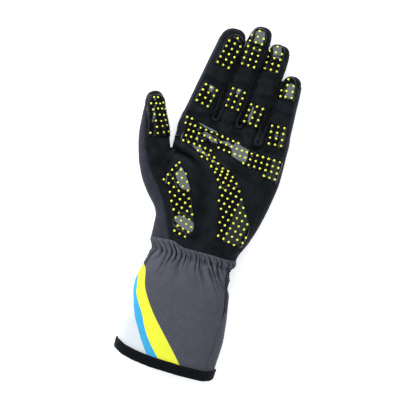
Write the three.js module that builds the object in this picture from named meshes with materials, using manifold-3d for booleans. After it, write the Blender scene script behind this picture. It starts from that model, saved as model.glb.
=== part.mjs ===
// Karting glove for the left hand, lying on its back with the palm up.
// Millimetres. +Z is up, +Y points to the fingertips and the thumb is on the -X side.
// The origin is under the middle of the palm, on the surface that the glove rests on.
// Every sleeve is a loft through a few sections, flattened where it lies on the surface.
// The glove is hollow, and its panels are cut out of one wall along the seams.

import * as THREE from "three";
import { mergeVertices } from "three/addons/utils/BufferGeometryUtils.js";
import Module from "manifold-3d";

const wasm = await Module();
wasm.setup();

// Walls and gaps
const seamGap = 0.3;
const handWall = 1.6;
const cuffWall = 1.5;
const slitWidth = 0.8;
const patchThickness = 0.8;

// Palm
const palmLength = 109;
const wristFromOrigin = 42;
const palmDepth = 29;
const wristWidth = 71.7;
const wristShift = -6.9;
const wristDepth = 26;
const wristSeamRise = 3;

// Fingers. The four lean together, side by side.
const fingerLean = 5.5;
const fingers = [
  { name: "index", width: 26.2, length: 75.5, depth: 18.5, tip: 10, taper: 6.5, outer: -1, crotch: 0 },
  { name: "middle", width: 19.4, length: 83, depth: 18.5, tip: 10, taper: 0.6, outer: -1, crotch: 0 },
  { name: "ring", width: 19.2, length: 73, depth: 18, tip: 9.5, taper: 1, outer: 1, crotch: 0 },
  { name: "little", width: 23.6, length: 51, depth: 17, tip: 9, taper: 9, outer: 1, crotch: -10 },
];

// Thumb
const thumbLength = 98;
const thumbWidth = 28;
const thumbDepth = 22;
const thumbRoll = 36;
const thumbTip = 12;
const thumbHeight = 12.6;
const thumbRise = 4;
const thumbRootInset = 12;
const thumbRootHeight = 27;
const thumbSeamAt = 0.51;

// Cuff
const cuffLength = 103.5;
const elasticFromWrist = 9;
const elasticWidth = 66.5;
const elasticShift = -6.6;
const elasticDepth = 24;
const hemWidth = 84.5;
const hemShift = -4.9;
const hemDepth = 31;
const hemRise = 7;
const gatherCount = 24;
const gatherDepth = 1.5;
const bindingWidth = 8.5;
const bindingThickness = 1.2;
const hemLiftReach = 0.64;

// Shares of a section's depth and roundness of its outline
const axisHeight = 0.45;
const belowAxis = 0.6;
const palmRoundness = 2.8;
const cuffRoundness = 2.5;
const fingerRoundness = 2.4;
const thumbRoundness = 2.1;
const palmSeam = 0.6;
const fingerSeam = 0.76;
const tipRoll = 0.8;
const fourchetteFoot = 0.24;
const fourchetteReach = 0.22;
const thumbSeam = 0.32;
const sideSeamInset = 0.08;
const stretchLength = 0.4;
const thumbPatchFrom = 0.62;
const thumbPatchTo = 0.96;
const thumbPatchFloor = 0.16;
const thumbPatchReach = 0.46;
const cuffSeamLeft = 0.42;
const cuffSeamRight = 0.8;

// Facets
const palmSides = 34;
const fingerSides = 14;
const thumbSides = 16;
const cuffSides = 2 * gatherCount;
const ribbonSteps = 2;
const patchSteps = 4;
const tipAngles = [0, 36, 66];
const fine = 0.02;

// Palm sections: along is a share of the palm's length from the wrist,
// left and right of half the knuckles' width, depth of the palm's depth.
const palmRows = [
  { along: 0.156, left: 0.982, right: 0.78, depth: 0.94 },
  { along: 0.248, left: 1.045, right: 0.85, depth: 0.98 },
  { along: 0.34, left: 1.076, right: 0.912, depth: 1 },
  { along: 0.477, left: 1.066, right: 0.971, depth: 1 },
  { along: 0.661, left: 1.044, right: 1.031, depth: 0.93 },
  { along: 0.844, left: 1.029, right: 1.026, depth: 0.81 },
  { along: 0.93, left: 1.01, right: 1.01, depth: 0.69 },
  { along: 1, left: 0.975, right: 0.975, depth: 0.5 },
];

// Cuff sections: along is a share of the way from the elastic to the hem,
// left and right say how far the side has flared from the elastic to the hem.
const cuffRows = [
  { along: 0.07, left: 0.16, right: 0.18, gather: 0.8 },
  { along: 0.2, left: 0.57, right: 0.34, gather: 0.4 },
  { along: 0.4, left: 0.76, right: 0.75, gather: 0.15 },
  { along: 0.64, left: 0.95, right: 0.86, gather: 0 },
];

// Thumb sections: along is a share of the thumb's length, heading its lean in degrees,
// width and depth shares of the thumb's, seam the share of half its width where the palm panel ends.
const thumbRows = [
  { along: 0, heading: 37, width: 0.78, depth: 0.9, seam: -0.52 },
  { along: 0.19, heading: 34, width: 1.02, depth: 1, seam: -0.3 },
  { along: 0.31, heading: 28, width: 1.04, depth: 1.02, seam: -0.44 },
  { along: 0.42, heading: 22, width: 1.05, depth: 1.02, seam: -0.61 },
  { along: 0.53, heading: 21, width: 1.02, depth: 1, seam: -0.64 },
  { along: 0.68, heading: 17, width: 0.97, depth: 0.97, seam: -0.6 },
];

// Creases pressed into the upper side: ends as shares of half the knuckles' width and of the
// palm's length from the wrist, depth and spread in millimetres.
const creases = [
  { from: [-1.0, 0.7], to: [-0.55, 0.66], depth: 1.6, spread: 4 },
  { from: [-0.55, 0.66], to: [-0.3, 0.5], depth: 1.4, spread: 5 },
  { from: [-0.28, 0.5], to: [-0.2, 0.12], depth: 1.8, spread: 13 },
  { from: [-0.9, 0.9], to: [0.95, 0.83], depth: 0.9, spread: 4 },
];

// Grip patches on the fingers: across, width, from and to are shares of the finger's width and length
const fingerPatchRows = [
  { finger: "index", place: "tip", across: 0.5, width: 0.68, from: 0.56, to: 0.955, round: 0.8, floor: 0.6 },
  { finger: "index", place: "middle", across: 0.5, width: 0.58, from: 0.08, to: 0.34, round: 0, floor: 0.6 },
  { finger: "middle", place: "tip", across: 0.5, width: 0.72, from: 0.57, to: 0.98, round: 0.8, floor: 0.6 },
  { finger: "middle", place: "middle", across: 0.5, width: 0.76, from: 0.12, to: 0.36, round: 0, floor: 0.6 },
  { finger: "ring", place: "tip", across: 0.5, width: 0.7, from: 0.67, to: 0.985, round: 0.8, floor: 0.6 },
  { finger: "ring", place: "middle", across: 0.46, width: 0.76, from: 0.02, to: 0.28, round: 0, floor: 0.6 },
  { finger: "little", place: "tip", across: 0.52, width: 0.6, from: 0.59, to: 0.95, round: 0.8, floor: 0.6 },
  { finger: "little", place: "middle", across: 0.52, width: 0.62, from: -0.2, to: 0.2, round: 0, floor: 0.6 },
];

// Grip patches on the palm, as ribbons: across and half are shares of half the knuckles' width,
// along of the palm's length, and turn is the way from one edge to the other in degrees.
const palmBandRows = [
  { across: -0.96, along: 0.886, half: 0.19, turn: 100 },
  { across: -0.53, along: 0.872, half: 0.13, turn: 80 },
  { across: -0.11, along: 0.828, half: 0.145, turn: 78 },
  { across: 0.33, along: 0.775, half: 0.15, turn: 80 },
  { across: 0.97, along: 0.725, half: 0.2, turn: 88 },
];
const palmBranchRows = [
  { across: -0.93, along: 0.822, half: 0.13, turn: 62 },
  { across: -0.68, along: 0.79, half: 0.13, turn: 58 },
  { across: -0.45, along: 0.735, half: 0.115, turn: 55 },
  { across: -0.2, along: 0.655, half: 0.085, turn: 65 },
  { across: 0.02, along: 0.595, half: 0.15, turn: 43 },
  { across: 0.17, along: 0.52, half: 0.185, turn: 30 },
  { across: 0.3, along: 0.385, half: 0.235, turn: 14 },
  { across: 0.42, along: 0.26, half: 0.28, turn: 2 },
  { across: 0.42, along: 0.115, half: 0.23, turn: 2 },
];
const thenarRows = [
  { across: -0.84, along: 0.605, half: 0.055, turn: -10 },
  { across: -0.83, along: 0.475, half: 0.23, turn: 14 },
  { across: -0.66, along: 0.33, half: 0.24, turn: 14 },
  { across: -0.48, along: 0.21, half: 0.21, turn: 6 },
  { across: -0.4, along: 0.075, half: 0.18, turn: 6 },
];

// The seam between the palm and the back below the thumb, by the same shares
const palmSeamRows = [
  { across: -0.66, along: 0.02 },
  { across: -0.74, along: 0.11 },
];

// Wrist seam and hem, seen from above: across is a share of half the width there.
const wristSeamLine = [
  [-1.4, 0.4], [-0.98, 0.4], [-0.75, 0.8], [-0.5, 1.1], [-0.38, 1], [-0.24, 0.2],
  [-0.08, 0], [0.25, 0.1], [0.6, 0], [0.85, 0.1], [1.4, 0.2],
];
const hemLine = [
  [-1.4, 1], [-1, 1], [-0.82, 0.45], [-0.6, 0.18], [-0.3, 0.03], [0.3, 0], [0.72, 0.05], [0.96, 0.4], [1.4, 0.4],
];

// Places worked out from the sizes
const knuckleWidth = fingers.reduce((sum, finger) => sum + finger.width, slitWidth * (fingers.length - 1));
const knuckleHalf = knuckleWidth / 2;
const wristY = -wristFromOrigin;
const knuckleY = palmLength - wristFromOrigin;
const elasticY = wristY - elasticFromWrist;
const hemY = wristY - cuffLength;
const leanSlope = Math.tan(THREE.MathUtils.degToRad(fingerLean));
const hemLift = seamGap + bindingThickness;
const far = 2 * (palmLength + cuffLength);
const mix = THREE.MathUtils.lerp;

function widthBetween(left, right) {
  return { x: (left + right) / 2, half: (right - left) / 2 };
}

// Height of the palm or a finger, which the side seam follows
function depthAt(y) {
  const stations = [
    [wristY, wristDepth],
    ...palmRows.slice(0, -1).map((row) => [wristY + row.along * palmLength, row.depth * palmDepth]),
    [knuckleY, fingers[0].depth],
    [knuckleY + fingers[1].length, 0.88 * fingers[1].depth],
  ];
  const above = stations.findIndex(([at]) => at >= y);
  const next = above < 0 ? stations.length - 1 : Math.max(1, above);
  const [y0, d0] = stations[next - 1];
  const [y1, d1] = stations[next];
  return mix(d0, d1, THREE.MathUtils.clamp((y - y0) / (y1 - y0), 0, 1));
}

// Height of the seam between the palm side and the back
function seamHeight(y) {
  const share = THREE.MathUtils.clamp((y - 0.6 * knuckleY) / (0.4 * knuckleY), 0, 1);
  return mix(palmSeam, fingerSeam, share) * depthAt(y);
}

// How far the upper side is pressed in at a place, by creases and by the valleys between the fingers
function pressedIn(x, y) {
  let drop = 0;
  for (const crease of creases) {
    const [a, b] = [crease.from, crease.to].map(
      ([across, along]) => new THREE.Vector3(across * knuckleHalf, wristY + along * palmLength, 0),
    );
    const here = new THREE.Vector3(x, y, 0);
    const away = new THREE.Line3(a, b).closestPointToPoint(here, true, new THREE.Vector3()).distanceTo(here);
    drop += crease.depth * Math.exp(-((away / crease.spread) ** 2));
  }
  for (const slit of slits) {
    const below = THREE.MathUtils.clamp((slit.y - y) / (0.2 * palmLength), 0, 1);
    const aside = x - slitX(slit, y);
    drop += y > slit.y ? 0 : valleyDepth * (1 - below) ** 2 * Math.exp(-((aside / valleySpread) ** 2));
  }
  return drop;
}

// One ring of a sleeve. The outline is a superellipse, cut flat where it would go below the surface.
function ring(row, offset, sides) {
  const points = [];
  const power = 2 / row.roundness;
  for (let side = 0; side < sides; side += 1) {
    const angle = (2 * Math.PI * (side + 0.5)) / sides;
    const across = Math.cos(angle);
    const up = Math.sin(angle);
    const pucker = (Math.cos((2 * Math.PI * gatherCount * side) / sides) - 1) / 2;
    const grown = offset + (row.gather ?? 0) * gatherDepth * pucker;
    const flat = Math.sign(across) * Math.abs(across) ** power * (row.half + grown);
    const high = Math.sign(up) * Math.abs(up) ** power * ((up > 0 ? row.top : row.bottom) + grown);
    const point = rolled(row, flat, high);
    const drop = row.pressed && up > 0 ? pressedIn(point.x, point.y) * Math.min(1, 1.6 * up) : 0;
    point.z = Math.max(point.z - drop, (row.lift ?? 0) - offset);
    points.push(point);
  }
  return points;
}

// A point of a section that is rolled about its middle line and turned to its heading
function rolled(row, flat, high) {
  const heading = THREE.MathUtils.degToRad(row.heading ?? 0);
  const roll = THREE.MathUtils.degToRad(row.roll ?? 0);
  const aside = flat * Math.cos(roll) + high * Math.sin(roll);
  const rise = high * Math.cos(roll) - flat * Math.sin(roll);
  return new THREE.Vector3(row.x + aside * Math.cos(heading), row.y + aside * Math.sin(heading), row.z + rise);
}

// Closes a stack of rings into a solid, with a point in the middle of each end
function solidThrough(rings, ends) {
  const sides = rings[0].length;
  const vertices = rings.flat();
  const triangles = [];
  for (let level = 0; level + 1 < rings.length; level += 1) {
    for (let side = 0; side < sides; side += 1) {
      const a = level * sides + side;
      const b = level * sides + ((side + 1) % sides);
      triangles.push(a, b, b + sides, a, b + sides, a + sides);
    }
  }
  const last = (rings.length - 1) * sides;
  const [start, end] = [vertices.length, vertices.length + 1];
  vertices.push(...ends);
  for (let side = 0; side < sides; side += 1) {
    const next = (side + 1) % sides;
    triangles.push(start, next, side, end, last + side, last + next);
  }
  return solidFrom(vertices.flatMap((point) => point.toArray()), triangles);
}

function solidFrom(positions, triangles) {
  const mesh = new wasm.Mesh({
    numProp: 3,
    vertProperties: Float32Array.from(positions),
    triVerts: Uint32Array.from(triangles),
  });
  const solid = new wasm.Manifold(mesh);
  return solid.volume() < 0 ? solidFrom(positions, triangles.toReversed()) : solid;
}

function middle(points) {
  const sum = new THREE.Vector3();
  points.forEach((point) => sum.add(point));
  return sum.divideScalar(points.length);
}

function sleeve(rows, offset, sides) {
  const rings = rows.map((row) => ring(row, offset, sides));
  const ends = [middle(rings[0]), middle(rings.at(-1))];
  return solidThrough(rings, ends);
}

function upright(depth, roundness) {
  return { z: axisHeight * depth, top: (1 - axisHeight) * depth, bottom: belowAxis * depth, roundness };
}

// Sleeves of the hand
function wristRow(y) {
  return {
    ...widthBetween(wristShift - wristWidth / 2, wristShift + wristWidth / 2),
    ...upright(wristDepth, cuffRoundness),
    y,
  };
}

function palmSleeve(offset) {
  const rows = palmRows.map((row) => ({
    ...widthBetween(-row.left * knuckleHalf, row.right * knuckleHalf),
    ...upright(row.depth * palmDepth, palmRoundness),
    y: wristY + row.along * palmLength,
    pressed: true,
  }));
  rows.at(-1).y += offset;
  return sleeve([wristRow(wristY - 2 * wristSeamRise), wristRow(wristY), ...rows], offset, palmSides);
}

// Each finger's left edge at the knuckles, from the widths of those before it
fingers.forEach((finger, order) => {
  const before = fingers.slice(0, order).reduce((sum, other) => sum + other.width + slitWidth, 0);
  finger.left = before - knuckleHalf;
});

const slits = fingers.slice(0, -1).map((finger, order) => ({
  name: `${finger.name}_${fingers[order + 1].name}`,
  x: finger.left + finger.width + slitWidth / 2,
  y: knuckleY + fingers[order + 1].crotch,
  top: knuckleY + Math.min(finger.length, fingers[order + 1].length),
}));
const valleyDepth = 0.24 * fingers[1].depth;
const valleySpread = 0.2 * fingers[1].width;

function slitX(slit, y) {
  return slit.x + (y - knuckleY) * leanSlope;
}

// Edges of a finger, which narrows towards its tip on its outer side only
function fingerEdges(finger, y) {
  const share = THREE.MathUtils.clamp((y - knuckleY) / finger.length, 0, 1);
  const shift = (y - knuckleY) * leanSlope;
  const narrowed = finger.taper * share;
  return {
    left: finger.left + shift + (finger.outer < 0 ? narrowed : 0),
    right: finger.left + finger.width + shift - (finger.outer > 0 ? narrowed : 0),
  };
}

function fingerSleeve(finger, offset) {
  const dome = finger.tip + offset;
  const round = knuckleY + finger.length - finger.tip;
  const stations = [-0.2, 0.3, 0.65].map((share) => [knuckleY + share * finger.length, 1]);
  for (const angle of tipAngles) {
    const turn = THREE.MathUtils.degToRad(angle);
    stations.push([round + dome * Math.sin(turn), Math.cos(turn)]);
  }
  const rows = stations.map(([y, share]) => {
    const { left, right } = fingerEdges(finger, y);
    const { x, half } = widthBetween(left, right);
    const depth = mix(finger.depth, 0.88 * finger.depth, THREE.MathUtils.clamp((y - knuckleY) / finger.length, 0, 1));
    const section = upright(depth, fingerRoundness);
    const shrink = (size) => (size + offset) * share - offset;
    const buried = y < knuckleY ? 0.9 : 1;
    return {
      x,
      y,
      half: shrink(half * buried),
      z: section.z,
      top: shrink(section.top * buried),
      bottom: shrink(section.bottom),
      roundness: fingerRoundness,
    };
  });
  const rings = rows.map((row) => ring(row, offset, fingerSides));
  const apex = middle(rings.at(-1)).setY(round + dome);
  return solidThrough(rings, [middle(rings[0]), apex]);
}

// Thumb: its middle line is stepped out from the root, turning with each section's heading
function thumbPath() {
  const rows = [];
  const at = new THREE.Vector3(thumbRootInset - knuckleHalf, wristY + thumbRootHeight, 0);
  const domeStart = 1 - thumbTip / thumbLength;
  const tipRow = { ...thumbRows.at(-1), along: domeStart, heading: 13, width: 0.76, depth: 0.84 };
  let before = thumbRows[0];
  for (const row of [...thumbRows, tipRow]) {
    const heading = THREE.MathUtils.degToRad((row.heading + before.heading) / 2);
    const step = (row.along - before.along) * thumbLength;
    at.add(new THREE.Vector3(-Math.sin(heading) * step, Math.cos(heading) * step, 0));
    rows.push({ ...row, x: at.x, y: at.y });
    before = row;
  }
  return rows;
}

function thumbSections(offset) {
  const path = thumbPath();
  const last = path.at(-1);
  const heading = THREE.MathUtils.degToRad(last.heading);
  const dome = thumbTip + offset;
  const section = (row, x, y, share, along) => ({
    x,
    y,
    z: thumbHeight + thumbRise * along,
    half: ((row.width * thumbWidth) / 2 + offset) * share - offset,
    top: ((row.depth * thumbDepth) / 2 + offset) * share - offset,
    bottom: ((row.depth * thumbDepth) / 2 + offset) * share - offset,
    roundness: thumbRoundness,
    heading: row.heading,
    roll: thumbRoll,
    along,
    seam: row.seam,
  });
  const rows = path.slice(0, -1).map((row) => section(row, row.x, row.y, 1, row.along));
  for (const angle of [...tipAngles, 90]) {
    const turn = THREE.MathUtils.degToRad(angle);
    const reach = dome * Math.sin(turn);
    const share = Math.cos(turn);
    const along = mix(last.along, 1, Math.sin(turn));
    rows.push(section(last, last.x - Math.sin(heading) * reach, last.y + Math.cos(heading) * reach, share, along));
  }
  return rows;
}

function thumbSleeve(offset) {
  const rows = thumbSections(offset);
  const tip = rows.pop();
  const rings = rows.map((row) => ring(row, offset, thumbSides));
  return solidThrough(rings, [middle(rings[0]), new THREE.Vector3(tip.x, tip.y, tip.z)]);
}

// Prisms that cut the sleeves
function solidOf(geometry) {
  const bare = geometry.clone();
  bare.deleteAttribute("normal");
  bare.deleteAttribute("uv");
  const merged = mergeVertices(bare, 1e-4);
  return solidFrom(merged.attributes.position.array, merged.index.array);
}

// An outline seen from above, standing between two heights
function prism(outline, low, high) {
  const shape = new THREE.Shape(outline.map(([x, y]) => new THREE.Vector2(x, y)));
  const geometry = new THREE.ExtrudeGeometry(shape, { depth: high - low, bevelEnabled: false });
  return solidOf(geometry.translate(0, 0, low));
}

function slitPrism(slit, half, low, high, bottomY, topY) {
  const lower = slitX(slit, bottomY);
  const upper = slitX(slit, topY);
  return prism([[lower - half, bottomY], [lower + half, bottomY], [upper + half, topY], [upper - half, topY]], low, high);
}

// The whole hand at an offset: 0 is its outer face, minus the wall its inner face
function hand(offset) {
  let solid = palmSleeve(offset).add(thumbSleeve(offset));
  for (const finger of fingers) {
    solid = solid.add(fingerSleeve(finger, offset));
  }
  for (const slit of slits) {
    const half = slitWidth / 2 - offset;
    if (half > 0) {
      solid = solid.subtract(slitPrism(slit, half, -palmDepth, 2 * palmDepth, slit.y + offset, slit.top + palmLength));
    }
  }
  return solid;
}

// The cuff at an offset, with its gathers at the elastic
function cuff(offset) {
  const side = (sign, width, shift) => shift + (sign * width) / 2;
  const rows = cuffRows.map((row) => {
    const left = mix(side(-1, elasticWidth, elasticShift), side(-1, hemWidth, hemShift), row.left);
    const right = mix(side(1, elasticWidth, elasticShift), side(1, hemWidth, hemShift), row.right);
    return {
      ...widthBetween(left, right),
      ...upright(mix(elasticDepth, hemDepth, row.along), cuffRoundness),
      y: mix(elasticY, hemY, row.along),
      lift: hemLift * Math.min(1, row.along / hemLiftReach),
      gather: row.gather,
    };
  });
  const elastic = {
    ...widthBetween(side(-1, elasticWidth, elasticShift), side(1, elasticWidth, elasticShift)),
    ...upright(elasticDepth, cuffRoundness),
    y: elasticY,
    gather: 1,
  };
  const between = {
    ...widthBetween(side(-1, wristWidth, wristShift), side(1, wristWidth, wristShift)),
    ...upright(wristDepth, cuffRoundness),
    y: mix(wristY, elasticY, 0.45),
    gather: 0.4,
  };
  const hemRow = (y) => ({
    ...widthBetween(side(-1, hemWidth, hemShift), side(1, hemWidth, hemShift)),
    ...upright(hemDepth, cuffRoundness),
    y,
    lift: hemLift,
  });
  const top = [wristRow(wristY + 2 * wristSeamRise), wristRow(wristY)];
  return sleeve([...top, between, elastic, ...rows, hemRow(hemY), hemRow(hemY - hemRise)], offset, cuffSides);
}

// Everything above the wrist seam, or above the hem line, moved up by a distance
function aboveLine(line, middleX, half, y, rise, raised) {
  const edge = line.map(([across, share]) => [middleX + across * half, y + share * rise + raised]);
  const [first, end] = [edge[0], edge.at(-1)];
  return prism([[-far, first[1]], ...edge, [far, end[1]], [far, far], [-far, far]], -far, far);
}

const aboveWrist = (raised) =>
  aboveLine(wristSeamLine, wristShift, wristWidth / 2, wristY - wristSeamRise / 3, wristSeamRise, raised);
const aboveHem = (raised) => aboveLine(hemLine, hemShift, hemWidth / 2, hemY, hemRise, raised);

// The zone of the palm panel: above the side seam, right of the seam at the thumb, and over the fingertips
function palmZone(grow) {
  const stops = [hemY, wristY, 0, knuckleY / 2, knuckleY, knuckleY + fingers[1].length, far];
  const floors = stops.map((y) => {
    const low = seamHeight(y) - grow;
    return [[-far, y, low], [far, y, low], [far, y, far], [-far, y, far]].map((at) => new THREE.Vector3(...at));
  });
  const beside = thumbSections(0).filter((row) => row.along < thumbSeamAt + 0.05);
  const thumbSide = beside.map((row) => {
    const heading = THREE.MathUtils.degToRad(row.heading);
    return [row.x + row.seam * row.half * Math.cos(heading) - grow, row.y + row.seam * row.half * Math.sin(heading)];
  });
  const palmSide = palmSeamRows.map(({ across, along }) => [across * knuckleHalf - grow, wristY + along * palmLength]);
  const left = [...palmSide, ...thumbSide];
  const upper = left.at(-1);
  let zone = solidThrough(floors, [middle(floors[0]), middle(floors.at(-1))]).intersect(
    prism([[left[0][0], -far], ...left, [-far, upper[1]], [-far, far], [far, far], [far, -far]], -far, 2 * far),
  );
  for (const finger of fingers) {
    const low = knuckleY + finger.length - tipRoll * finger.tip;
    const { left: x0, right: x1 } = fingerEdges(finger, low);
    const side = slitWidth / 2;
    const slant = (far - low) * leanSlope;
    const tip = [[x0 - side, low - grow], [x1 + side, low - grow], [x1 + side + slant, far], [x0 - side + slant, far]];
    zone = zone.add(prism(tip, fourchetteFoot * finger.depth - grow, far));
  }
  return zone;
}

// The zone of the strip between two fingers, round their crotch and up to the fingertips
function fourchetteZone(slit, grow) {
  const reach = fourchetteReach * fingers[1].width + grow;
  const low = fourchetteFoot * fingers[1].depth - grow;
  return slitPrism(slit, reach, low, far, slit.y - reach, slit.top + palmLength);
}

// Everything of the thumb beyond its seam with the palm
function thumbRegion(grow) {
  const rows = thumbSections(fine + grow).slice(0, -1);
  const start = rows.findIndex((row) => row.along > thumbSeamAt);
  const share = (thumbSeamAt - rows[start - 1].along) / (rows[start].along - rows[start - 1].along);
  const first = { ...rows[start] };
  for (const key of ["x", "y", "z", "half", "top", "bottom", "heading"]) {
    first[key] = mix(rows[start - 1][key], rows[start][key], share);
  }
  const heading = THREE.MathUtils.degToRad(first.heading);
  first.x += Math.sin(heading) * grow;
  first.y -= Math.cos(heading) * grow;
  const rings = [first, ...rows.slice(start)].map((row) => ring({ ...row, lift: -far }, fine + grow, thumbSides));
  const beyond = middle(rings.at(-1)).add(new THREE.Vector3(0, thumbTip, 0));
  return solidThrough(rings, [middle(rings[0]), beyond]);
}

// The half of the thumb that faces the fingers
function thumbFront(grow) {
  const rows = thumbSections(0);
  const tip = rows.at(-1);
  const beyond = { ...rows.at(-2), x: tip.x, y: tip.y + thumbTip, z: tip.z };
  const reach = 2 * thumbWidth;
  const rings = [...rows.slice(0, -1), beyond].map((row) => {
    const low = (thumbSeam * thumbDepth) / 2 - grow;
    return [[-reach, low], [reach, low], [reach, reach], [-reach, reach]].map(([flat, high]) => rolled(row, flat, high));
  });
  return solidThrough(rings, [middle(rings[0]), middle(rings.at(-1))]);
}

// The front of the cuff: above the left side seam and left of the right one
function cuffFrontZone(grow) {
  const stops = [[knuckleY, elasticWidth, elasticShift, elasticDepth], [elasticY, elasticWidth, elasticShift, elasticDepth]];
  stops.push([mix(elasticY, hemY, 0.4), mix(elasticWidth, hemWidth, 0.75), mix(elasticShift, hemShift, 0.75), hemDepth]);
  stops.push([hemY - hemRise, hemWidth, hemShift, hemDepth]);
  const rings = stops.map(([y, width, shift, depth]) => {
    const right = shift + width / 2 - sideSeamInset * width + grow;
    const low = cuffSeamLeft * depth - grow;
    return [[-far, low], [right, low], [right, far], [-far, far]].map(([x, z]) => new THREE.Vector3(x, y, z));
  });
  return solidThrough(rings, [middle(rings[0]), middle(rings.at(-1))]);
}

// The stretch strip beside the gathers, narrowing towards the hem
function stretchZone(grow) {
  const low = mix(elasticY, hemY, stretchLength);
  const top = elasticShift + elasticWidth / 2;
  const foot = mix(top, hemShift + hemWidth / 2, 0.6) - 0.5 * sideSeamInset * hemWidth;
  return prism(
    [[foot, low - grow], [top + sideSeamInset * elasticWidth, wristY + wristSeamRise], [0, wristY + wristSeamRise], [0, low - grow]],
    cuffSeamRight * elasticDepth - grow,
    far,
  );
}

// Places on the palm, from shares of half the knuckles' width and of the palm's length
function onPalm(across, along) {
  return new THREE.Vector2(across * knuckleHalf, wristY + along * palmLength);
}

// A ribbon seen from above, through rows with a centre, a half width and the way it faces
function ribbon(rows) {
  const edges = [-1, 1].map((side) =>
    rows.map((row) => {
      const turn = THREE.MathUtils.degToRad(row.turn);
      const normal = new THREE.Vector2(Math.cos(turn), Math.sin(turn));
      return onPalm(row.across, row.along).addScaledVector(normal, side * row.half * knuckleHalf);
    }),
  );
  const [one, other] = edges.map((edge) => new THREE.SplineCurve(edge).getPoints(ribbonSteps * (edge.length - 1)));
  const outline = [...one, ...other.reverse()];
  return prism(outline.map((at) => [at.x, at.y]), 0, far);
}

// A rounded patch along a finger, from the shares in its row
function fingerPatch(row) {
  const finger = fingers.find(({ name }) => name === row.finger);
  const [low, high] = [row.from, row.to].map((share) => knuckleY + share * finger.length);
  const at = (y) => fingerEdges(finger, y);
  const bottom = at(low);
  const top = at(high);
  const half = (row.width * finger.width) / 2;
  const centre = (edges) => mix(edges.left, edges.right, row.across);
  const outline = [[centre(bottom) - half, low], [centre(bottom) + half, low]];
  const curve = row.round * half;
  for (let step = 0; step <= patchSteps; step += 1) {
    const angle = (Math.PI * step) / patchSteps;
    outline.push([centre(top) + half * Math.cos(angle), high - curve + curve * Math.sin(angle)]);
  }
  return prism(outline, row.floor * finger.depth, far);
}

// The patch on the thumb's pad, which wraps round its right side
function thumbPatchZone() {
  const rows = thumbSections(0).slice(0, -1);
  const next = rows.findIndex((row) => row.along > thumbPatchFrom);
  const share = (thumbPatchFrom - rows[next - 1].along) / (rows[next].along - rows[next - 1].along);
  const first = { ...rows[next] };
  for (const key of ["x", "y", "z", "heading"]) {
    first[key] = mix(rows[next - 1][key], rows[next][key], share);
  }
  const kept = [first, ...rows.slice(next).filter((row) => row.along <= thumbPatchTo)];
  const low = thumbPatchFloor * thumbDepth;
  const rings = kept.map((row, order) => {
    const reach = (order === kept.length - 1 ? 0.5 : 1) * thumbPatchReach * thumbWidth;
    return [[-reach, low], [thumbWidth, low], [thumbWidth, thumbWidth], [-reach, thumbWidth]].map(([flat, high]) =>
      rolled(row, flat, high),
    );
  });
  return solidThrough(rings, [middle(rings[0]), middle(rings.at(-1))]);
}

// Keeps the main body of a panel, without crumbs that a cut leaves at a crotch
function mainBody(solid) {
  const bodies = solid.decompose();
  return bodies.reduce((best, body) => (body.volume() > best.volume() ? body : best)).simplify(fine);
}

function named(name, solid, color, roughness) {
  const mesh = solid.getMesh();
  const geometry = new THREE.BufferGeometry();
  geometry.setAttribute("position", new THREE.Float32BufferAttribute(mesh.vertProperties, 3));
  geometry.setIndex(Array.from(mesh.triVerts));
  const object = new THREE.Mesh(geometry, new THREE.MeshStandardMaterial({ color, roughness, metalness: 0 }));
  object.name = name;
  return object;
}

// Walls of the hand and of the cuff
const handShell = hand(0).subtract(hand(-handWall)).intersect(aboveWrist(0));
const hemClear = bindingThickness + seamGap;
const cuffShell = cuff(0).subtract(cuff(-cuffWall)).subtract(aboveWrist(-seamGap)).intersect(aboveHem(hemClear));

// Panels of the hand
const widePalm = palmZone(seamGap);
const wideThumb = thumbRegion(seamGap);
const thumbShell = handShell.intersect(thumbRegion(0));
const palmPanel = mainBody(handShell.intersect(palmZone(0)).subtract(wideThumb));
const thumbPalm = mainBody(thumbShell.intersect(thumbFront(0)));
const thumbBack = mainBody(thumbShell.subtract(thumbFront(seamGap)));
const fourchettes = slits.map((slit) => mainBody(handShell.intersect(fourchetteZone(slit, 0)).subtract(widePalm)));
const backPanel = mainBody(
  slits.reduce((solid, slit) => solid.subtract(fourchetteZone(slit, seamGap)), handShell.subtract(widePalm).subtract(wideThumb)),
);

// Panels of the cuff, and the binding folded over its hem
const cuffFront = mainBody(cuffShell.intersect(cuffFrontZone(0)));
const cuffRest = cuffShell.subtract(cuffFrontZone(seamGap));
const cuffStretch = mainBody(cuffRest.intersect(stretchZone(0)));
const cuffBack = mainBody(cuffRest.subtract(stretchZone(seamGap)));
const bindingRing = cuff(hemLift).subtract(cuff(-cuffWall - hemLift));
const bindingBand = bindingRing.intersect(aboveHem(0)).subtract(aboveHem(bindingWidth));
const hemSlot = cuff(seamGap).subtract(cuff(-cuffWall - seamGap)).intersect(aboveHem(bindingThickness));
const cuffBinding = mainBody(bindingBand.subtract(hemSlot));

// Grip patches, a skin just clear of the palm side
const gripSkin = hand(seamGap + patchThickness).subtract(hand(seamGap));
const palmPatch = mainBody(gripSkin.intersect(ribbon(palmBandRows).add(ribbon(palmBranchRows))));
const thenarPatch = mainBody(gripSkin.intersect(ribbon(thenarRows)));
const thumbSkin = thumbSleeve(seamGap + patchThickness).subtract(hand(seamGap));
const thumbPatch = mainBody(thumbSkin.intersect(thumbPatchZone()));

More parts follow.
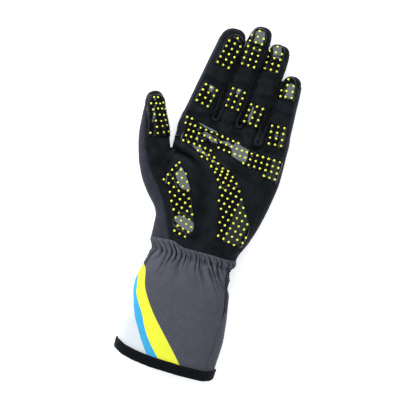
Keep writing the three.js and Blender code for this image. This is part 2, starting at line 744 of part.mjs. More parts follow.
const black = "#212529";
const grey = "#585962";
const gloss = "#0a0d11";
const glove = new THREE.Group();
glove.add(named("palm_panel", palmPanel, black, 0.9));
glove.add(named("back_panel", backPanel, grey, 0.9));
slits.forEach((slit, order) => glove.add(named(`fourchette_${slit.name}`, fourchettes[order], black, 0.9)));
glove.add(named("thumb_palm", thumbPalm, black, 0.9));
glove.add(named("thumb_back", thumbBack, grey, 0.9));
glove.add(named("cuff_front", cuffFront, grey, 0.9));
glove.add(named("cuff_back", cuffBack, grey, 0.9));
glove.add(named("cuff_stretch", cuffStretch, black, 0.9));
glove.add(named("cuff_binding", cuffBinding, black, 0.8));
glove.add(named("palm_patch", palmPatch, gloss, 0.2));
glove.add(named("thenar_patch", thenarPatch, gloss, 0.2));
glove.add(named("thumb_patch", thumbPatch, gloss, 0.2));
for (const row of fingerPatchRows) {
  const solid = mainBody(gripSkin.intersect(fingerPatch(row)));
  glove.add(named(`${row.finger}_${row.place}_patch`, solid, gloss, 0.2));
}

export default glove;
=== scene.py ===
"""Karting glove for the left hand, lying on its back: gathered cuff, suede palm and printed grip patches."""

import math

import bmesh
import bpy
import numpy as np
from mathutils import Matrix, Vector, noise
from mathutils.bvhtree import BVHTree
from mathutils.kdtree import KDTree


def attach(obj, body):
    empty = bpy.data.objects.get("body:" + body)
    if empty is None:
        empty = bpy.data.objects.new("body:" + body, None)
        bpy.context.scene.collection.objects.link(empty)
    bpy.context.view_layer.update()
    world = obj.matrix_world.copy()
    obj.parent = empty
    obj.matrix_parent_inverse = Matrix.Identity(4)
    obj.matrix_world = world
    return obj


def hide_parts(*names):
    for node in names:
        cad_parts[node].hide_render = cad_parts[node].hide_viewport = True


bl_info = {
    "name": "Karting Glove",
    "version": (1, 0, 0),
    "blender": (4, 5, 0),
    "location": "View3D > Sidebar > Glove",
    "description": "Builds the cloth, suede and silicone of a karting glove round its packed frame",
    "category": "Object",
}

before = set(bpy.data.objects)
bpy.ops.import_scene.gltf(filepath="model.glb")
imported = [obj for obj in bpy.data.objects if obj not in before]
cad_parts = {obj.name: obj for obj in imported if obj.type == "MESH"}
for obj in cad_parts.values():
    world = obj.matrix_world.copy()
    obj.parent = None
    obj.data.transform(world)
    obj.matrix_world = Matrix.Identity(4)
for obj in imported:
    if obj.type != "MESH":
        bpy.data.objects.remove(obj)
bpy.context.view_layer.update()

# The glove's shape is worked out in millimetres and given to Blender in metres.
MM = 0.001

# Shapes and materials that more than one operator uses, each worked out once
GLOVE = {}

# The photograph: its scale, its width in pixels and how far the glove is turned in it, in degrees
MM_PER_PIXEL = 0.83
PIXELS_ACROSS = 416
PHOTO_TURN = 16

# The hand. Y is up the hand from its origin under the palm; left and right are edges seen from above.
WRIST_Y = -42.0
KNUCKLE_Y = 67.0
LEAN = math.tan(math.radians(5.5))
PALM = [
    {"y": -56, "left": -43.3, "right": 30.0, "depth": 26.0, "power": 2.5},
    {"y": -42, "left": -43.5, "right": 30.0, "depth": 26.0, "power": 2.5},
    {"y": -25, "left": -44.2, "right": 36.1, "depth": 27.3, "power": 2.7},
    {"y": -15, "left": -45.6, "right": 39.3, "depth": 28.4, "power": 2.8},
    {"y": -5, "left": -47.2, "right": 41.8, "depth": 29.0, "power": 2.8},
    {"y": 10, "left": -47.9, "right": 44.6, "depth": 28.6, "power": 2.8},
    {"y": 30, "left": -47.2, "right": 47.0, "depth": 26.4, "power": 2.8},
    {"y": 50, "left": -47.2, "right": 46.4, "depth": 22.8, "power": 2.7},
    {"y": 60, "left": -46.4, "right": 45.8, "depth": 19.4, "power": 2.6},
    {"y": 70, "left": -44.7, "right": 44.0, "depth": 15.0, "power": 2.5},
]
# Taper is how much a finger draws in at its outer side, which is -1 for the left and 1 for the right. Slim is
# how much its right side draws in near the tip.
FINGERS = [
    {"name": "index", "left": -46.0, "right": -18.95, "depth": 18.5, "length": 76.7,
     "tip": 13.0, "taper": 5.8, "outer": -1, "slim": 0.0},
    {"name": "middle", "left": -18.65, "right": 1.25, "depth": 18.5, "length": 84.4,
     "tip": 11.0, "taper": 0.6, "outer": -1, "slim": 0.8},
    {"name": "ring", "left": 1.55, "right": 21.25, "depth": 18.0, "length": 73.8,
     "tip": 10.5, "taper": 0.4, "outer": 1, "slim": 1.1},
    {"name": "little", "left": 21.55, "right": 45.4, "depth": 17.0, "length": 51.6,
     "tip": 10.5, "taper": 7.6, "outer": 1, "slim": 0.0},
]
CROTCHES = [{"at": -18.8, "y": 66.5}, {"at": 1.4, "y": 66.0}, {"at": 21.4, "y": 55.5}]
THUMB_LENGTH = 100.0
THUMB_ROLL = 36.0
THUMB_TIP = 13.0
THUMB = [
    {"along": 0.0, "heading": 39, "half": 10.9, "thick": 9.9, "z": 12.8},
    {"along": 0.19, "heading": 37, "half": 14.3, "thick": 11.0, "z": 13.2},
    {"along": 0.31, "heading": 31, "half": 14.6, "thick": 11.2, "z": 13.7},
    {"along": 0.42, "heading": 23.5, "half": 14.7, "thick": 11.2, "z": 14.1},
    {"along": 0.53, "heading": 20, "half": 14.1, "thick": 11.0, "z": 14.5},
    {"along": 0.68, "heading": 14, "half": 12.9, "thick": 10.4, "z": 15.1},
    {"along": 0.8, "heading": 14.5, "half": 10.3, "thick": 9.2, "z": 15.5},
    {"along": 0.88, "heading": 15, "half": 8.4, "thick": 8.0, "z": 15.8},
]
THUMB_ROOT = (-33.4, -15.0)

# The seam between the suede and the grey back, seen from above, from the wrist up the thumb
BACK_SEAM = [
    (-25.5, -48), (-28.5, -38), (-32.8, -30), (-37, -20), (-42.4, -10), (-49.3, 0), (-57.8, 10), (-64.3, 20),
    (-68.4, 30), (-71.7, 39), (-74.5, 49), (-76.2, 57), (-77.1, 64), (-76.9, 71), (-73, 78.5), (-65, 84),
]
# Height of the lower seam of the strips between the fingers
STRIP_LOW = 4.32

# The cuff, from the wrist seam to the hem
CUFF = [
    {"y": -34, "left": -43.6, "right": 30.2, "depth": 26.0, "lift": 0.0},
    {"y": -42, "left": -42.9, "right": 30.0, "depth": 26.0, "lift": 0.0},
    {"y": -46.5, "left": -40.2, "right": 29.9, "depth": 25.2, "lift": 0.0},
    {"y": -50.8, "left": -38.9, "right": 26.9, "depth": 24.6, "lift": 0.0},
    {"y": -55, "left": -39.6, "right": 26.6, "depth": 25.2, "lift": 0.1},
    {"y": -65, "left": -42.3, "right": 30.2, "depth": 26.2, "lift": 0.3},
    {"y": -80, "left": -46.2, "right": 33.8, "depth": 27.6, "lift": 0.7},
    {"y": -95, "left": -47.0, "right": 36.6, "depth": 28.6, "lift": 1.1},
    {"y": -112, "left": -47.8, "right": 38.4, "depth": 29.6, "lift": 1.4},
    {"y": -130, "left": -47.2, "right": 37.9, "depth": 30.4, "lift": 1.5},
    {"y": -153, "left": -47.0, "right": 37.4, "depth": 31.0, "lift": 1.5},
]
CUFF_POWER = 2.5
CUFF_GIRTH = 215.0
ELASTIC_Y = -50.9
WRIST_SEAM = [
    (-56, -41.2), (-43, -41.3), (-35, -40.7), (-28, -39.8), (-23.5, -40), (-18, -42.2), (-14, -43.2),
    (-5, -42.9), (10, -42.6), (20, -43), (27, -42.3), (45, -42.2),
]
HEM = [
    (-60, -135.5), (-49, -137.2), (-46.5, -138.3), (-40, -141.2), (-30, -143.2), (-15, -144.7),
    (10, -145.2), (30, -144.8), (36, -143.2), (39, -141.2), (50, -139),
]

# The stripes printed on the cuff, seen from above, as lines from the wrist to the hem
YELLOW_FROM = [
    (-60, -62), (-46, -63.6), (-41.8, -66.4), (-39.6, -71), (-36.5, -83), (-29, -95),
    (-20.5, -105.5), (-10, -116.5), (0, -127), (9, -137), (16, -146),
]
YELLOW_TO = [
    (-62, -69), (-49, -71), (-45, -75), (-43, -85), (-42, -90), (-36.5, -99),
    (-32, -106), (-28, -114), (-22, -123), (-15, -131), (-9, -137.5), (-3, -146),
]
BLUE_TO = [
    (-62, -72), (-50, -74), (-46.6, -78), (-45.7, -86), (-44, -92), (-40.5, -102),
    (-37, -110), (-32, -118), (-27, -126), (-21, -134), (-18, -137.5), (-12, -146),
]

# The binding folded over the hem: how far out from the cloth and how far up from the hem, round the band's
# own outline. The ring numbered SEAM_RING of its smoothed outline carries the stitches.
BINDING = 8.6
BINDING_FOLD = [
    (0.15, BINDING), (0.5, BINDING + 0.15), (1.1, BINDING - 0.2), (1.35, BINDING - 1.4), (1.3, BINDING - 3.6),
    (1.25, BINDING - 6), (1.2, 1.2), (0.7, 0.15), (-0.4, -0.1), (-1.7, 0.1), (-2.3, 1.1), (-2.45, 3.5),
    (-2.4, BINDING - 1.2), (-2.2, BINDING - 0.2), (-1.6, BINDING), (-1.3, BINDING - 0.6), (-1.3, 2.2),
    (-0.9, 1.5), (-0.2, 1.4), (0.1, 2.2), (0.12, BINDING - 1),
]
SEAM_RING = 9
BINDING_GIRTH = 216.0

# The side seam seen from above, and the height of the knit strip's lower edge beside it
SIDE = [
    {"y": -36, "seam": 34.0, "low": 9.5}, {"y": -50, "seam": 31.5, "low": 9.5},
    {"y": -53, "seam": 25.4, "low": 9.5}, {"y": -57, "seam": 25.3, "low": 9.5},
    {"y": -63.4, "seam": 26.8, "low": 9.5}, {"y": -73, "seam": 29.3, "low": 10.5},
    {"y": -80, "seam": 30.7, "low": 14.5}, {"y": -86, "seam": 31.6, "low": 18.5},
    {"y": -91, "seam": 32.1, "low": 22.0}, {"y": -100, "seam": 32.0, "low": 28.0},
    {"y": -120, "seam": 31.0, "low": 40.0}, {"y": -150, "seam": 29.4, "low": 40.0},
]

# Ribbons that the palm's patches follow: centre, half width and the way from edge to edge
BAND = [
    {"x": -41.8, "y": 54.3, "half": 8.6, "turn": 100},
    {"x": -24.1, "y": 53.0, "half": 5.9, "turn": 80},
    {"x": -5.0, "y": 48.3, "half": 6.6, "turn": 78},
    {"x": 15.0, "y": 42.5, "half": 6.8, "turn": 80},
    {"x": 44.0, "y": 37.0, "half": 9.1, "turn": 88},
]
BRANCH = [
    {"x": -42.2, "y": 47.6, "half": 5.9, "turn": 62},
    {"x": -30.9, "y": 44.1, "half": 5.9, "turn": 58},
    {"x": -20.4, "y": 38.1, "half": 5.2, "turn": 55},
    {"x": -9.1, "y": 29.4, "half": 3.9, "turn": 65},
    {"x": 0.9, "y": 22.9, "half": 6.8, "turn": 43},
    {"x": 7.7, "y": 14.7, "half": 8.4, "turn": 30},
    {"x": 13.6, "y": 0.0, "half": 10.7, "turn": 14},
    {"x": 19.5, "y": -13.7, "half": 13.4, "turn": 2},
    {"x": 19.6, "y": -30.3, "half": 11.2, "turn": 2},
]

# The outline of the patch on the heel of the thumb, from its peak round by the left
THENAR = [
    (-37.8, 24.6), (-43.4, 15.2), (-48.7, 6.1), (-46.5, 4.8), (-43.4, 2.2), (-39.7, -2.5), (-36.2, -8.6),
    (-32.5, -15.5), (-29.6, -21.9), (-26.9, -31.5), (-25.8, -34.2), (-23.6, -35.4), (-16.0, -35.2),
    (-11.4, -33.8), (-9.9, -31), (-10.5, -24.3), (-12.7, -18.4), (-16.2, -9.4), (-20, -0.4), (-22, 4.8),
    (-25.4, 10.3), (-30.2, 16.8), (-34.4, 21.4),
]

# Rows of dots across the palm's patches: the place of column 0, the slope of the row, its bend, and how far
# its left columns lag behind an even spacing
PALM_DOTS = [
    {"row": 0, "x": 17.8, "y": 61.0, "slope": 0, "bend": 1, "lag": 2.2},
    {"row": 3, "x": 17.8, "y": 46.2, "slope": 0, "bend": 1, "lag": 2.2},
    {"row": 5, "x": 17.9, "y": 36.6, "slope": 0, "bend": 1, "lag": 0.7},
    {"row": 6, "x": 17.8, "y": 32.1, "slope": -0.03, "bend": 0.8, "lag": 0.4},
    {"row": 7, "x": 17.6, "y": 28.5, "slope": -0.08, "bend": 0.3, "lag": 0.2},
    {"row": 8, "x": 17.7, "y": 24.6, "slope": -0.185, "bend": 0, "lag": 0},
    {"row": 9, "x": 17.7, "y": 21.7, "slope": -0.194, "bend": 0, "lag": 0},
    {"row": 10, "x": 17.3, "y": 18.1, "slope": -0.222, "bend": 0, "lag": 0},
    {"row": 13, "x": 13.6, "y": 4.2, "slope": -0.254, "bend": 0, "lag": 0},
    {"row": 19, "x": 5.0, "y": -24.6, "slope": -0.26, "bend": 0, "lag": 0},
]
THENAR_DOTS = [
    {"row": 0, "x": -42.2, "y": 25.3, "slope": -0.46, "bend": 0, "lag": 0},
    {"row": 1, "x": -39.3, "y": 20.0, "slope": -0.44, "bend": 0, "lag": 0},
    {"row": 3, "x": -34.0, "y": 7.0, "slope": -0.42, "bend": 0, "lag": 0},
    {"row": 5, "x": -28.5, "y": -5.7, "slope": -0.35, "bend": 0, "lag": 0},
    {"row": 6, "x": -25.1, "y": -12.0, "slope": -0.31, "bend": 0, "lag": 0},
    {"row": 7, "x": -21.5, "y": -18.1, "slope": -0.3, "bend": 0, "lag": 0},
    {"row": 9, "x": -14.6, "y": -29.6, "slope": -0.26, "bend": 0, "lag": 0},
    {"row": 10, "x": -11.3, "y": -35.3, "slope": -0.24, "bend": 0, "lag": 0},
]

# Patches on the fingers: middle of the lowest row of dots, lean, dots in each column, left to right, and how
# close the left column stands where the finger is narrow
FINGER_PATCHES = [
    {"node": "index_tip_patch", "x": -25.0, "y": 110.9, "lean": 12.8, "dots": (5, 6, 5), "domed": True},
    {"node": "index_middle_patch", "x": -32.8, "y": 75.7, "lean": 13.9, "dots": (4, 4, 4), "domed": False},
    {"node": "middle_tip_patch", "x": -5.0, "y": 116.2, "lean": 2.6, "dots": (6, 7, 6), "domed": True},
    {"node": "middle_middle_patch", "x": -8.1, "y": 79.0, "lean": 5.4, "dots": (4, 4, 4), "domed": False},
    {"node": "ring_tip_patch", "x": 14.0, "y": 117.9, "lean": 0.4, "dots": (4, 5, 4), "domed": True},
    {"node": "ring_middle_patch", "x": 9.8, "y": 70.4, "lean": 6.2, "dots": (4, 4, 4), "domed": False},
    {"node": "little_tip_patch", "x": 31.8, "y": 99.6, "lean": -6.2, "dots": (3, 4, 3), "domed": True,
     "close": 0.8},
    {"node": "little_middle_patch", "x": 34.3, "y": 59.2, "lean": -5.2, "dots": (4, 4, 4), "domed": False},
]
DOT_PITCH = 5.05
# How far from a patch's edge a dot's middle stays, on the palm and fingers and on the thumb
DOT_MARGIN = 0.1
THUMB_DOT_MARGIN = 0.5

# Creases of the palm: a path seen from above, how deep it is, how wide, and how much its sides swell
CREASES = [
    {"path": [(-48.5, 33.5), (-42, 32.6), (-35.4, 31.4), (-29, 29.4), (-23.5, 26.3), (-18, 22)],
     "depth": 3.4, "width": 2.3, "swell": 1.1},
    {"path": [(-53.5, 31), (-54.5, 26), (-55.5, 19)], "depth": 0.8, "width": 2.2, "swell": 0.5},
    {"path": [(-44.6, 32.6), (-46.4, 29.6), (-47.4, 25.5), (-47.8, 18)],
     "depth": -3.0, "width": 1.5, "swell": -0.8},
    {"path": [(-18, 22), (-13, 6), (-9, -12), (-8.5, -26)], "depth": 0.9, "width": 5.0, "swell": 0.4},
    {"path": [(-14, 32), (-8, 29.6), (-2, 26.5), (3, 24.5)], "depth": 1.7, "width": 2.0, "swell": 0.9},
    {"path": [(-24, 47.5), (-14, 43), (-5, 40)], "depth": 1.0, "width": 3.0, "swell": 0.4},
    {"path": [(18, 49.5), (30, 51.5), (43, 52.5)], "depth": 1.1, "width": 3.2, "swell": 0.5},
    {"path": [(-44, 64.5), (-33, 62.5), (-22, 61.5)], "depth": 0.8, "width": 3.5, "swell": 0.3},
    {"path": [(8, 30), (20, 27), (34, 22)], "depth": 0.8, "width": 5.0, "swell": 0.3},
    {"path": [(-66, 26), (-58, 31), (-52, 33.5), (-48.5, 34)], "depth": 0.9, "width": 3.0, "swell": 0.3},
    {"path": [(-57, 16), (-50, 20), (-46, 26)], "depth": 0.7, "width": 4.0, "swell": 0.2},
]

# Broad rises and hollows of the palm: the heel, the pads below the fingers and the hollow between them
SWELLS = [
    {"x": -28, "y": -6, "wide": 15, "long": 24, "high": 1.2},
    {"x": 22, "y": -8, "wide": 15, "long": 22, "high": 0.8},
    {"x": -6, "y": 6, "wide": 9, "long": 26, "high": -1.6},
    {"x": -30, "y": 56, "wide": 12, "long": 8, "high": 0.5},
    {"x": 8, "y": 52, "wide": 22, "long": 8, "high": 0.4},
    {"x": -3, "y": -30, "wide": 12, "long": 9, "high": -0.8},
]

# Places where the print lies flat and mirrors one lamp or the dark above. Tip is how many degrees a place
# leans towards the fingertips, and side how many towards the little finger. Right is the side beyond its
# middle line.
FACETS = [
    {"x": 3.5, "y": 23.0, "wide": 8.5, "tall": 6.5, "lean": 45, "tip": 0.5, "side": 0.0},
    {"x": 16.4, "y": -13.0, "wide": 15.5, "tall": 22.5, "lean": 6, "tip": 0.0, "side": 0.5, "right": 8.7},
    {"x": 39.0, "y": 38.5, "wide": 4.6, "tall": 9.5, "lean": 4, "tip": 3.0, "side": 8.3},
    {"x": 25.0, "y": 40.5, "wide": 7.5, "tall": 8.0, "lean": 4, "tip": 4.0, "side": 1.5},
    {"x": 39.2, "y": 66.0, "wide": 2.6, "tall": 9.5, "lean": -5, "tip": -2.0, "side": 8.3},
    {"x": 8.5, "y": 45.0, "wide": 7.2, "tall": 8.5, "lean": -4, "tip": 11.5, "side": -0.9},
    {"x": -21.5, "y": 57.3, "wide": 2.2, "tall": 9.0, "lean": 105, "tip": 11.0, "side": 0.4},
    {"x": -18.0, "y": 49.0, "wide": 2.5, "tall": 6.0, "lean": 115, "tip": 11.3, "side": 0.4},
    {"x": -24.5, "y": 37.6, "wide": 1.9, "tall": 9.0, "lean": 112, "tip": 11.8, "side": 0.4},
    {"x": -31.2, "y": 10.8, "wide": 5.4, "tall": 9.0, "lean": -36, "tip": 12.8, "side": 0.8},
    {"x": -19.0, "y": -23.7, "wide": 9.5, "tall": 5.2, "lean": 20, "tip": 14.1, "side": 0.3},
    {"x": -2.5, "y": 140.5, "wide": 4.6, "tall": 6.5, "lean": 0, "tip": 7.7, "side": -0.4},
    {"x": 15.0, "y": 133.5, "wide": 4.2, "tall": 5.2, "lean": 0, "tip": 8.0, "side": -1.2},
    {"x": 34.6, "y": 105.0, "wide": 4.0, "tall": 6.6, "lean": -5, "tip": 9.1, "side": -2.0},
    {"x": -1.5, "y": 122.5, "wide": 7.0, "tall": 7.5, "lean": 3, "tip": 0.5, "side": 0.0},
    {"x": -9.8, "y": 122.0, "wide": 1.7, "tall": 9.0, "lean": 3, "tip": -6.6, "side": 10.0},
    {"x": 16.5, "y": 122.0, "wide": 5.5, "tall": 6.0, "lean": 0, "tip": 0.5, "side": 0.0},
    {"x": 9.3, "y": 120.5, "wide": 1.6, "tall": 4.0, "lean": 0, "tip": -6.6, "side": 10.0},
    {"x": -13.3, "y": 86.6, "wide": 2.0, "tall": 8.0, "lean": 5, "tip": -5.1, "side": 10.0},
    {"x": -7.0, "y": 92.4, "wide": 1.6, "tall": 3.2, "lean": 5, "tip": 9.5, "side": -0.3},
    {"x": 8.6, "y": 76.8, "wide": 1.7, "tall": 8.0, "lean": 5, "tip": 10.1, "side": -0.9},
    {"x": -22.5, "y": 122.5, "wide": 6.6, "tall": 13.0, "lean": 13, "tip": 0.5, "side": 0.0},
    {"x": -29.0, "y": 89.3, "wide": 2.2, "tall": 3.6, "lean": 15, "tip": 9.8, "side": 0.7},
]

# Studio lamps, placed in metres. The soft boxes shape the cloth, and the print doesn't mirror them.
SOFT_BOXES = [
    {"name": "left_softbox", "at": (-1.15, 0.45, 0.62), "wide": 1.0, "tall": 0.75, "power": 19},
    {"name": "right_softbox", "at": (1.15, 0.1, 0.75), "wide": 0.9, "tall": 0.6, "power": 5.5},
    {"name": "far_softbox", "at": (-0.1, 1.1, 0.72), "wide": 0.8, "tall": 0.4, "power": 9},
    {"name": "near_softbox", "at": (0.0, -1.2, 0.7), "wide": 0.9, "tall": 0.4, "power": 5.5},
]
# The print mirrors only these small cards, so its black stays black.
CARDS = [
    {"name": "upper_card", "at": (-0.02, 0.62, 1.25), "wide": 0.34, "tall": 0.3, "power": 1.0},
    {"name": "overhead_card", "at": (0.42, -0.05, 1.2), "wide": 1.1, "tall": 0.28, "power": 0.5},
    {"name": "left_card", "at": (-1.1, 0.3, 0.8), "wide": 1.0, "tall": 0.1, "power": 0.8},
    {"name": "near_card", "at": (-0.3, -1.1, 0.7), "wide": 0.8, "tall": 0.1, "power": 1.4},
]
# The floor's half width and how far it lies below the glove, in metres
FLOOR_HALF = 9
FLOOR_DROP = 0.0004


def through(rows, key, at):
    """A smooth curve through a column of a table, flat where the column turns."""
    where = next(name for name in ("row", "along", "y") if name in rows[0])
    xs = np.array([row[where] for row in rows], float)
    ys = np.array([row[key] for row in rows], float)
    if xs[0] > xs[-1]:
        xs, ys = xs[::-1], ys[::-1]
    steps = np.diff(xs)
    slopes = np.diff(ys) / steps
    tangents = np.zeros(len(xs))
    same = slopes[:-1] * slopes[1:] > 0
    tangents[1:-1][same] = 2 * slopes[:-1][same] * slopes[1:][same] / (slopes[:-1] + slopes[1:])[same]
    tangents[0], tangents[-1] = slopes[0], slopes[-1]
    at = np.clip(at, xs[0], xs[-1])
    i = np.clip(np.searchsorted(xs, at) - 1, 0, len(xs) - 2)
    t = (at - xs[i]) / steps[i]
    h = steps[i]
    return (ys[i] * (1 + 2 * t) * (1 - t) ** 2 + ys[i + 1] * t * t * (3 - 2 * t)
            + h * tangents[i] * t * (1 - t) ** 2 - h * tangents[i + 1] * t * t * (1 - t))


def blend_min(a, b, soft):
    """The nearer of two distances, with a fillet where they meet."""
    mix = np.maximum(soft - np.abs(a - b), 0) / soft
    return np.minimum(a, b) - mix * mix * soft / 4


def blend_max(a, b, soft):
    """The farther of two distances, with its corner rounded."""
    return -blend_min(-a, -b, soft)


def oval(across, up, half, top, bottom, power, beyond=None):
    """Distance to a sleeve's outline, or to its rounded tip where beyond is more than 0."""
    reach = np.where(up > 0, top, bottom)
    size = ((np.abs(across) / half) ** power + (np.abs(up) / reach) ** power) ** (1 / power)
    far = np.hypot(across, up)
    if beyond is not None:
        past, tip = np.maximum(beyond, 0), half
        size = (size ** 2.4 + past ** 2.4) ** (1 / 2.4)
        far = np.hypot(far, past * tip)
    return np.where(size > 1e-3, far * (1 - 1 / np.maximum(size, 1e-3)), -half)


def thumb_axis():
    """Points along the thumb's middle line, with the heading, half width, thickness and height at each."""
    if "thumb" not in GLOVE:
        along = np.linspace(0, 1, 99)
        heading = np.radians(through(THUMB, "heading", along))
        step = THUMB_LENGTH / 98
        turn = (heading[1:] + heading[:-1]) / 2
        x = THUMB_ROOT[0] + np.concatenate([[0], np.cumsum(-np.sin(turn) * step)])
        y = THUMB_ROOT[1] + np.concatenate([[0], np.cumsum(np.cos(turn) * step)])
        sizes = [through(THUMB, key, along) for key in ("half", "thick", "z")]
        GLOVE["thumb"] = (np.stack([x, y], 1), along * THUMB_LENGTH, heading, *sizes)
    return GLOVE["thumb"]


def on_thumb(p):
    """Each point's length along the thumb, and its place across and above the thumb's rolled middle."""
    path, along, heading, half, thick, z = thumb_axis()
    near = np.empty(len(p), int)
    for start in range(0, len(p), 40000):
        part = p[start:start + 40000, :2]
        gap = ((part[:, None] - path[None]) ** 2).sum(2)
        near[start:start + 40000] = gap.argmin(1)
    away = p[:, :2] - path[near]
    side = away[:, 0] * np.cos(heading[near]) + away[:, 1] * np.sin(heading[near])
    ahead = -away[:, 0] * np.sin(heading[near]) + away[:, 1] * np.cos(heading[near])
    rise = p[:, 2] - z[near]
    roll = math.radians(THUMB_ROLL)
    across = side * math.cos(roll) - rise * math.sin(roll)
    up = side * math.sin(roll) + rise * math.cos(roll)
    return along[near] + ahead, across, up, half[near], thick[near]


def thumb_distance(p):
    """Distance from points to the outside of the thumb, less than 0 inside."""
    out = np.full(len(p), 30.0)
    close = (p[:, 0] < -20) & (p[:, 1] > -45) & (p[:, 1] < 85)
    along, across, up, half, thick = on_thumb(p[close])
    beyond = (along - (THUMB_LENGTH - THUMB_TIP)) / THUMB_TIP
    near = oval(across, up, half, thick, thick, 2.1, beyond)
    out[close] = blend_max(near, -along, 4)
    return out


def finger_edges(finger, y):
    """Left and right edge of a finger, before the fingers' common lean is added."""
    share = np.clip((y - KNUCKLE_Y) / finger["length"], 0, 1)
    narrowed = finger["taper"] * share
    left = finger["left"] + (narrowed if finger["outer"] < 0 else 0)
    right = finger["right"] - (narrowed if finger["outer"] > 0 else 0)
    # The side that stands clear of the next finger draws in a little.
    return left, right - finger["slim"] * np.clip((share - 0.74) / 0.16, 0, 1)


def hand_distance(p):
    """Distance from points to the outside of the hand, less than 0 inside."""
    x, y, z = p.T
    leaned = x - (y - KNUCKLE_Y) * LEAN
    depth = through(PALM, "depth", y)
    left, right = through(PALM, "left", y), through(PALM, "right", y)
    palm = oval(x - (left + right) / 2, z - 0.45 * depth, (right - left) / 2, 0.55 * depth, 0.6 * depth,
                through(PALM, "power", y))
    palm = blend_max(palm, y - KNUCKLE_Y - 0.5, 7)
    fingers = np.full(len(p), 60.0)
    for finger in FINGERS:
        left, right = finger_edges(finger, y)
        share = (y - KNUCKLE_Y) / finger["length"]
        swell = 1 + 0.03 * np.cos(2 * math.pi * (share - 0.22) / 0.42)
        depth = finger["depth"] * (1 - 0.12 * np.clip(share, 0, 1)) * swell
        beyond = (y - KNUCKLE_Y - finger["length"] + finger["tip"]) / finger["tip"]
        near = oval(leaned - (left + right) / 2, z - 0.45 * depth, (right - left) / 2, 0.55 * depth,
                    0.6 * depth, 2.4, beyond)
        fingers = np.minimum(fingers, blend_max(near, KNUCKLE_Y - 16 - y, 6))
    near = blend_min(palm, fingers, 3.5)
    near = blend_min(near, thumb_distance(p), 1.2 + 4 * np.clip((22 - y) / 20, 0, 1))
    return blend_max(near, -z, 1.6)


def skin(field, low, cell):
    """A closed skin of quads where a field on a grid crosses 0, one vertex in each cell that it crosses."""
    inside = field < 0
    size = np.array(field.shape)
    total = np.zeros((*(size - 1), 3))
    count = np.zeros(size - 1)
    crossings = []
    for axis in range(3):
        others = [k for k in range(3) if k != axis]
        lower = [slice(None)] * 3
        upper = [slice(None)] * 3
        lower[axis], upper[axis] = slice(0, -1), slice(1, None)
        a, b = field[tuple(lower)], field[tuple(upper)]
        cross = inside[tuple(lower)] != inside[tuple(upper)]
        t = np.where(cross, a / np.where(cross, a - b, 1), 0)
        crossings.append((axis, others, cross, inside[tuple(lower)]))
        for one in (0, 1):
            for two in (0, 1):
                part = [slice(None)] * 3
                part[others[0]] = slice(one, size[others[0]] - 1 + one)
                part[others[1]] = slice(two, size[others[1]] - 1 + two)
                hit = cross[tuple(part)]
                total[..., axis] += t[tuple(part)]
                total[..., others[0]] += one * hit
                total[..., others[1]] += two * hit
                count += hit
    used = np.argwhere(count > 0)
    number = np.full(count.shape, -1)
    number[tuple(used.T)] = np.arange(len(used))
    points = used + total[tuple(used.T)] / count[tuple(used.T)][:, None]
    quads = []
    for axis, others, cross, start in crossings:
        hits = np.argwhere(cross)
        keep = np.all([(hits[:, k] > 0) & (hits[:, k] < size[k] - 1) for k in others], axis=0)
        hits = hits[keep]
        corners = []
        for one, two in ((1, 1), (0, 1), (0, 0), (1, 0)):
            cell_at = hits.copy()
            cell_at[:, others[0]] -= one
            cell_at[:, others[1]] -= two
            corners.append(number[tuple(cell_at.T)])
        quad = np.stack(corners, 1)
        flip = start[tuple(hits.T)] ^ (axis == 1)
        quad[~flip] = quad[~flip][:, ::-1]
        quads.append(quad)
    quads = np.concatenate(quads)
    points = low + points * cell
    return points, quads


def triangles(points, quads):
    """Each quad as two triangles, split along its shorter diagonal."""
    one = np.linalg.norm(points[quads[:, 0]] - points[quads[:, 2]], axis=1)
    two = np.linalg.norm(points[quads[:, 1]] - points[quads[:, 3]], axis=1)
    short = one <= two
    a, b = quads[short], quads[~short]
    return np.concatenate([a[:, [0, 1, 2]], a[:, [0, 2, 3]], b[:, [0, 1, 3]], b[:, [1, 2, 3]]])


def cut(points, faces, values):
    """Cuts triangles along the line where their corners' values are 0. Points may carry more columns."""
    side = values > 0
    mark = side[faces]
    mixed = mark.any(1) & ~mark.all(1)
    whole, split = faces[~mixed], faces[mixed]
    marks = mark[mixed]
    lone = np.where(marks.sum(1) == 1, marks.argmax(1), (~marks).argmax(1))
    rows = np.arange(len(split))
    a, b, c = split[rows, lone], split[rows, (lone + 1) % 3], split[rows, (lone + 2) % 3]
    edges = np.sort(np.concatenate([np.stack([a, b], 1), np.stack([a, c], 1)]), axis=1)
    unique, back = np.unique(edges, axis=0, return_inverse=True)
    back = back.reshape(-1)
    va, vb = values[unique[:, 0]], values[unique[:, 1]]
    t = np.clip(va / (va - vb), 0.03, 0.97)[:, None]
    fresh = points[unique[:, 0]] * (1 - t) + points[unique[:, 1]] * t
    ab = back[:len(split)] + len(points)
    ac = back[len(split):] + len(points)
    parts = [whole, np.stack([a, ab, ac], 1), np.stack([ab, b, c], 1), np.stack([ab, c, ac], 1)]
    return np.concatenate([points, fresh]), np.concatenate(parts)


def trimmed(points, faces, keep):
    """The kept faces alone, with the points that they use, and where those came from."""
    faces = faces[keep]
    used, back = np.unique(faces, return_inverse=True)
    return points[used], back.reshape(faces.shape), used


def normals(points, faces):
    """Smooth normals at the points of a triangle mesh."""
    a, b, c = points[faces[:, 0]], points[faces[:, 1]], points[faces[:, 2]]
    face = np.cross(b - a, c - a)
    out = np.zeros_like(points)
    for k in range(3):
        np.add.at(out, faces[:, k], face)
    return out / np.maximum(np.linalg.norm(out, axis=1), 1e-9)[:, None]


